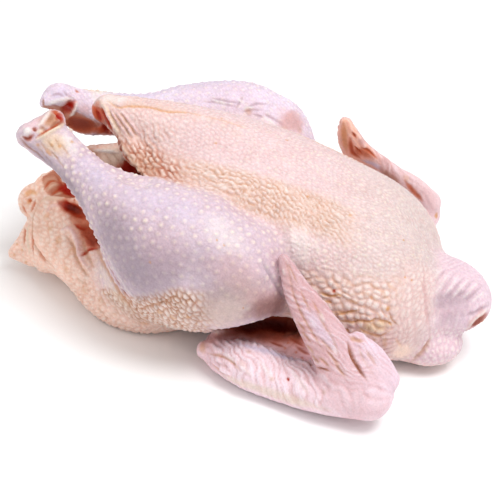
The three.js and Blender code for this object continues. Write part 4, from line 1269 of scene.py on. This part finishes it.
    "neck_opening_pink": "2.2 0 tan 0.5 | 482,322 490,316",
    "neck_edge": "1.0 0.7 white 0.8 neck | 466,331 474,320 484,312 493,306",
    "neck_ridges": (
        "0.8 0.5 white 0.5 neck | 436,292 450,272 | 444,296 460,274 | 452,298 470,278 | 462,300 478,282 "
        "| 470,304 486,290 | 432,282 442,266"),
    "neck_ridge_lines": (
        "0.7 -0.4 mauve 0.45 neck | 440,294 455,273 | 448,297 465,276 | 457,299 474,280 | 466,302 "
        "482,286 | 434,286 446,268"),
}

draw(MARKS_BOTH, mirror=True)
draw(MARKS)

# ---------- place, displace and colour ----------
legs = SHARE["left_leg"] + SHARE["right_leg"]
FINE = np.clip(calm + 0.35 * legs + 0.5 * nape + 0.4 * seat, 0, 1) * (1 - IN_CAVITY)
new = P + N * LIFT[:, None]
new[:, 2] = np.maximum(new[:, 2], 0)
write_mesh(mesh, new / 1000 + SCULPT_TO_FRAME)
mesh.shade_smooth()
layer = mesh.color_attributes.new("skin_tint", "FLOAT_COLOR", "POINT")
rgba = np.ones((len(P), 4), np.float32)
rgba[:, :3] = to_linear(PAINT) * SKIN_REFLECTS
layer.data.foreach_set("color", rgba.ravel())
fine = mesh.attributes.new("skin_fine", "FLOAT", "POINT")
fine.data.foreach_set("value", FINE.astype(np.float32))
bird = add_object("bird", mesh)


GRAIN, MOTTLE, SPECKS = 1100, 260, 480        # scales of the finest textures, to a metre
SKIN_ROUGHNESS = 0.46
SKIN_SHINE = 0.14          # low, since the photo's light is soft
FINE_BUMP = 0.0004         # m


def skin_material():
    material = bpy.data.materials.new("skin")
    material.use_nodes = True
    tree = material.node_tree
    shader = tree.nodes["Principled BSDF"]
    node = tree.nodes.new
    link = tree.links.new
    tint_in = node("ShaderNodeAttribute")
    tint_in.attribute_name = "skin_tint"
    fine_in = node("ShaderNodeAttribute")
    fine_in.attribute_name = "skin_fine"
    place = node("ShaderNodeTexCoord")

    def texture(kind, scale, **sockets):
        made = node(kind)
        made.inputs["Scale"].default_value = scale
        for name, value in sockets.items():
            made.inputs[name].default_value = value
        link(place.outputs["Object"], made.inputs["Vector"])
        return made

    def ranged(source, from_low, from_high, to_low, to_high):
        made = node("ShaderNodeMapRange")
        values = (from_low, from_high, to_low, to_high)
        for socket, value in zip(("From Min", "From Max", "To Min", "To Max"), values):
            made.inputs[socket].default_value = value
        link(source, made.inputs["Value"])
        return made.outputs["Result"]

    def math_node(operation, a, b):
        made = node("ShaderNodeMath")
        made.operation = operation
        for socket, value in zip(made.inputs, (a, b)):
            if isinstance(value, (int, float)):
                socket.default_value = value
            else:
                link(value, socket)
        return made.outputs["Value"]

    grain = texture("ShaderNodeTexNoise", GRAIN, Detail=2)
    mottle = texture("ShaderNodeTexNoise", MOTTLE, Detail=4)
    specks = texture("ShaderNodeTexVoronoi", SPECKS, Randomness=0.9)
    speck = ranged(specks.outputs["Distance"], 0.12, 0.62, 1.0, 0.0)
    speck = math_node("MULTIPLY", speck, fine_in.outputs["Fac"])
    shade = ranged(mottle.outputs["Fac"], 0.3, 0.7, 0.93, 1.04)
    shade = math_node("ADD", shade, math_node("MULTIPLY", speck, 0.09))
    shade = math_node("ADD", shade, ranged(grain.outputs["Fac"], 0.3, 0.7, -0.08, 0.05))
    scaled = node("ShaderNodeVectorMath")
    scaled.operation = "SCALE"
    link(tint_in.outputs["Color"], scaled.inputs[0])
    link(shade, scaled.inputs["Scale"])
    link(scaled.outputs["Vector"], shader.inputs["Base Color"])
    bump = node("ShaderNodeBump")
    bump.inputs["Strength"].default_value = 0.5
    bump.inputs["Distance"].default_value = FINE_BUMP
    link(math_node("ADD", grain.outputs["Fac"], speck), bump.inputs["Height"])
    link(bump.outputs["Normal"], shader.inputs["Normal"])
    shader.inputs["Roughness"].default_value = SKIN_ROUGHNESS
    shader.inputs["Specular IOR Level"].default_value = SKIN_SHINE
    shader.inputs["Subsurface Weight"].default_value = 0.08
    shader.inputs["Subsurface Radius"].default_value = (1.0, 0.4, 0.25)
    shader.inputs["Subsurface Scale"].default_value = 0.002
    return material


mesh.materials.clear()
mesh.materials.append(skin_material())
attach(bird, "root")
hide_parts("chicken")


# ---------- floor and light ----------
FLOOR_HALF = 6.0           # m
# A row is: place m, what it points at m, size m, power W.
LIGHTS = {
    "key": ((0.35, -0.15, 1.1), (0, 0, 0.05), 0.7, 9.2),
    "fill": ((-0.6, -0.42, 0.5), (-0.08, -0.02, 0.05), 0.5, 0.8),
}
WORLD_STRENGTH = 0.7


def make_floor():
    size = FLOOR_HALF
    m = bpy.data.meshes.new("floor")
    corners = [(-size, -size, 0), (size, -size, 0), (size, size, 0), (-size, size, 0)]
    m.from_pydata(corners, [], [(0, 1, 2, 3)])
    floor = add_object("floor", m)
    material = bpy.data.materials.new("floor")
    material.use_nodes = True
    shader = material.node_tree.nodes["Principled BSDF"]
    shader.inputs["Base Color"].default_value = (0.97, 0.97, 0.97, 1)
    shader.inputs["Roughness"].default_value = 0.9
    shader.inputs["Specular IOR Level"].default_value = 0.0
    m.materials.append(material)


def make_light():
    for name, (place, target, size, power) in LIGHTS.items():
        data = bpy.data.lights.new(name, "AREA")
        data.shape = "DISK"
        data.size = size
        data.energy = power
        light = add_object(name, data)
        light.location = place
        light.rotation_euler = (Vector(target) - Vector(place)).to_track_quat("-Z", "Y").to_euler()
    world = bpy.data.worlds.new("studio")
    world.use_nodes = True
    background = world.node_tree.nodes["Background"]
    background.inputs["Color"].default_value = (1, 1, 1, 1)
    background.inputs["Strength"].default_value = WORLD_STRENGTH
    bpy.context.scene.world = world
    bpy.context.scene.view_settings.view_transform = "Standard"


make_floor()
make_light()
make_camera()
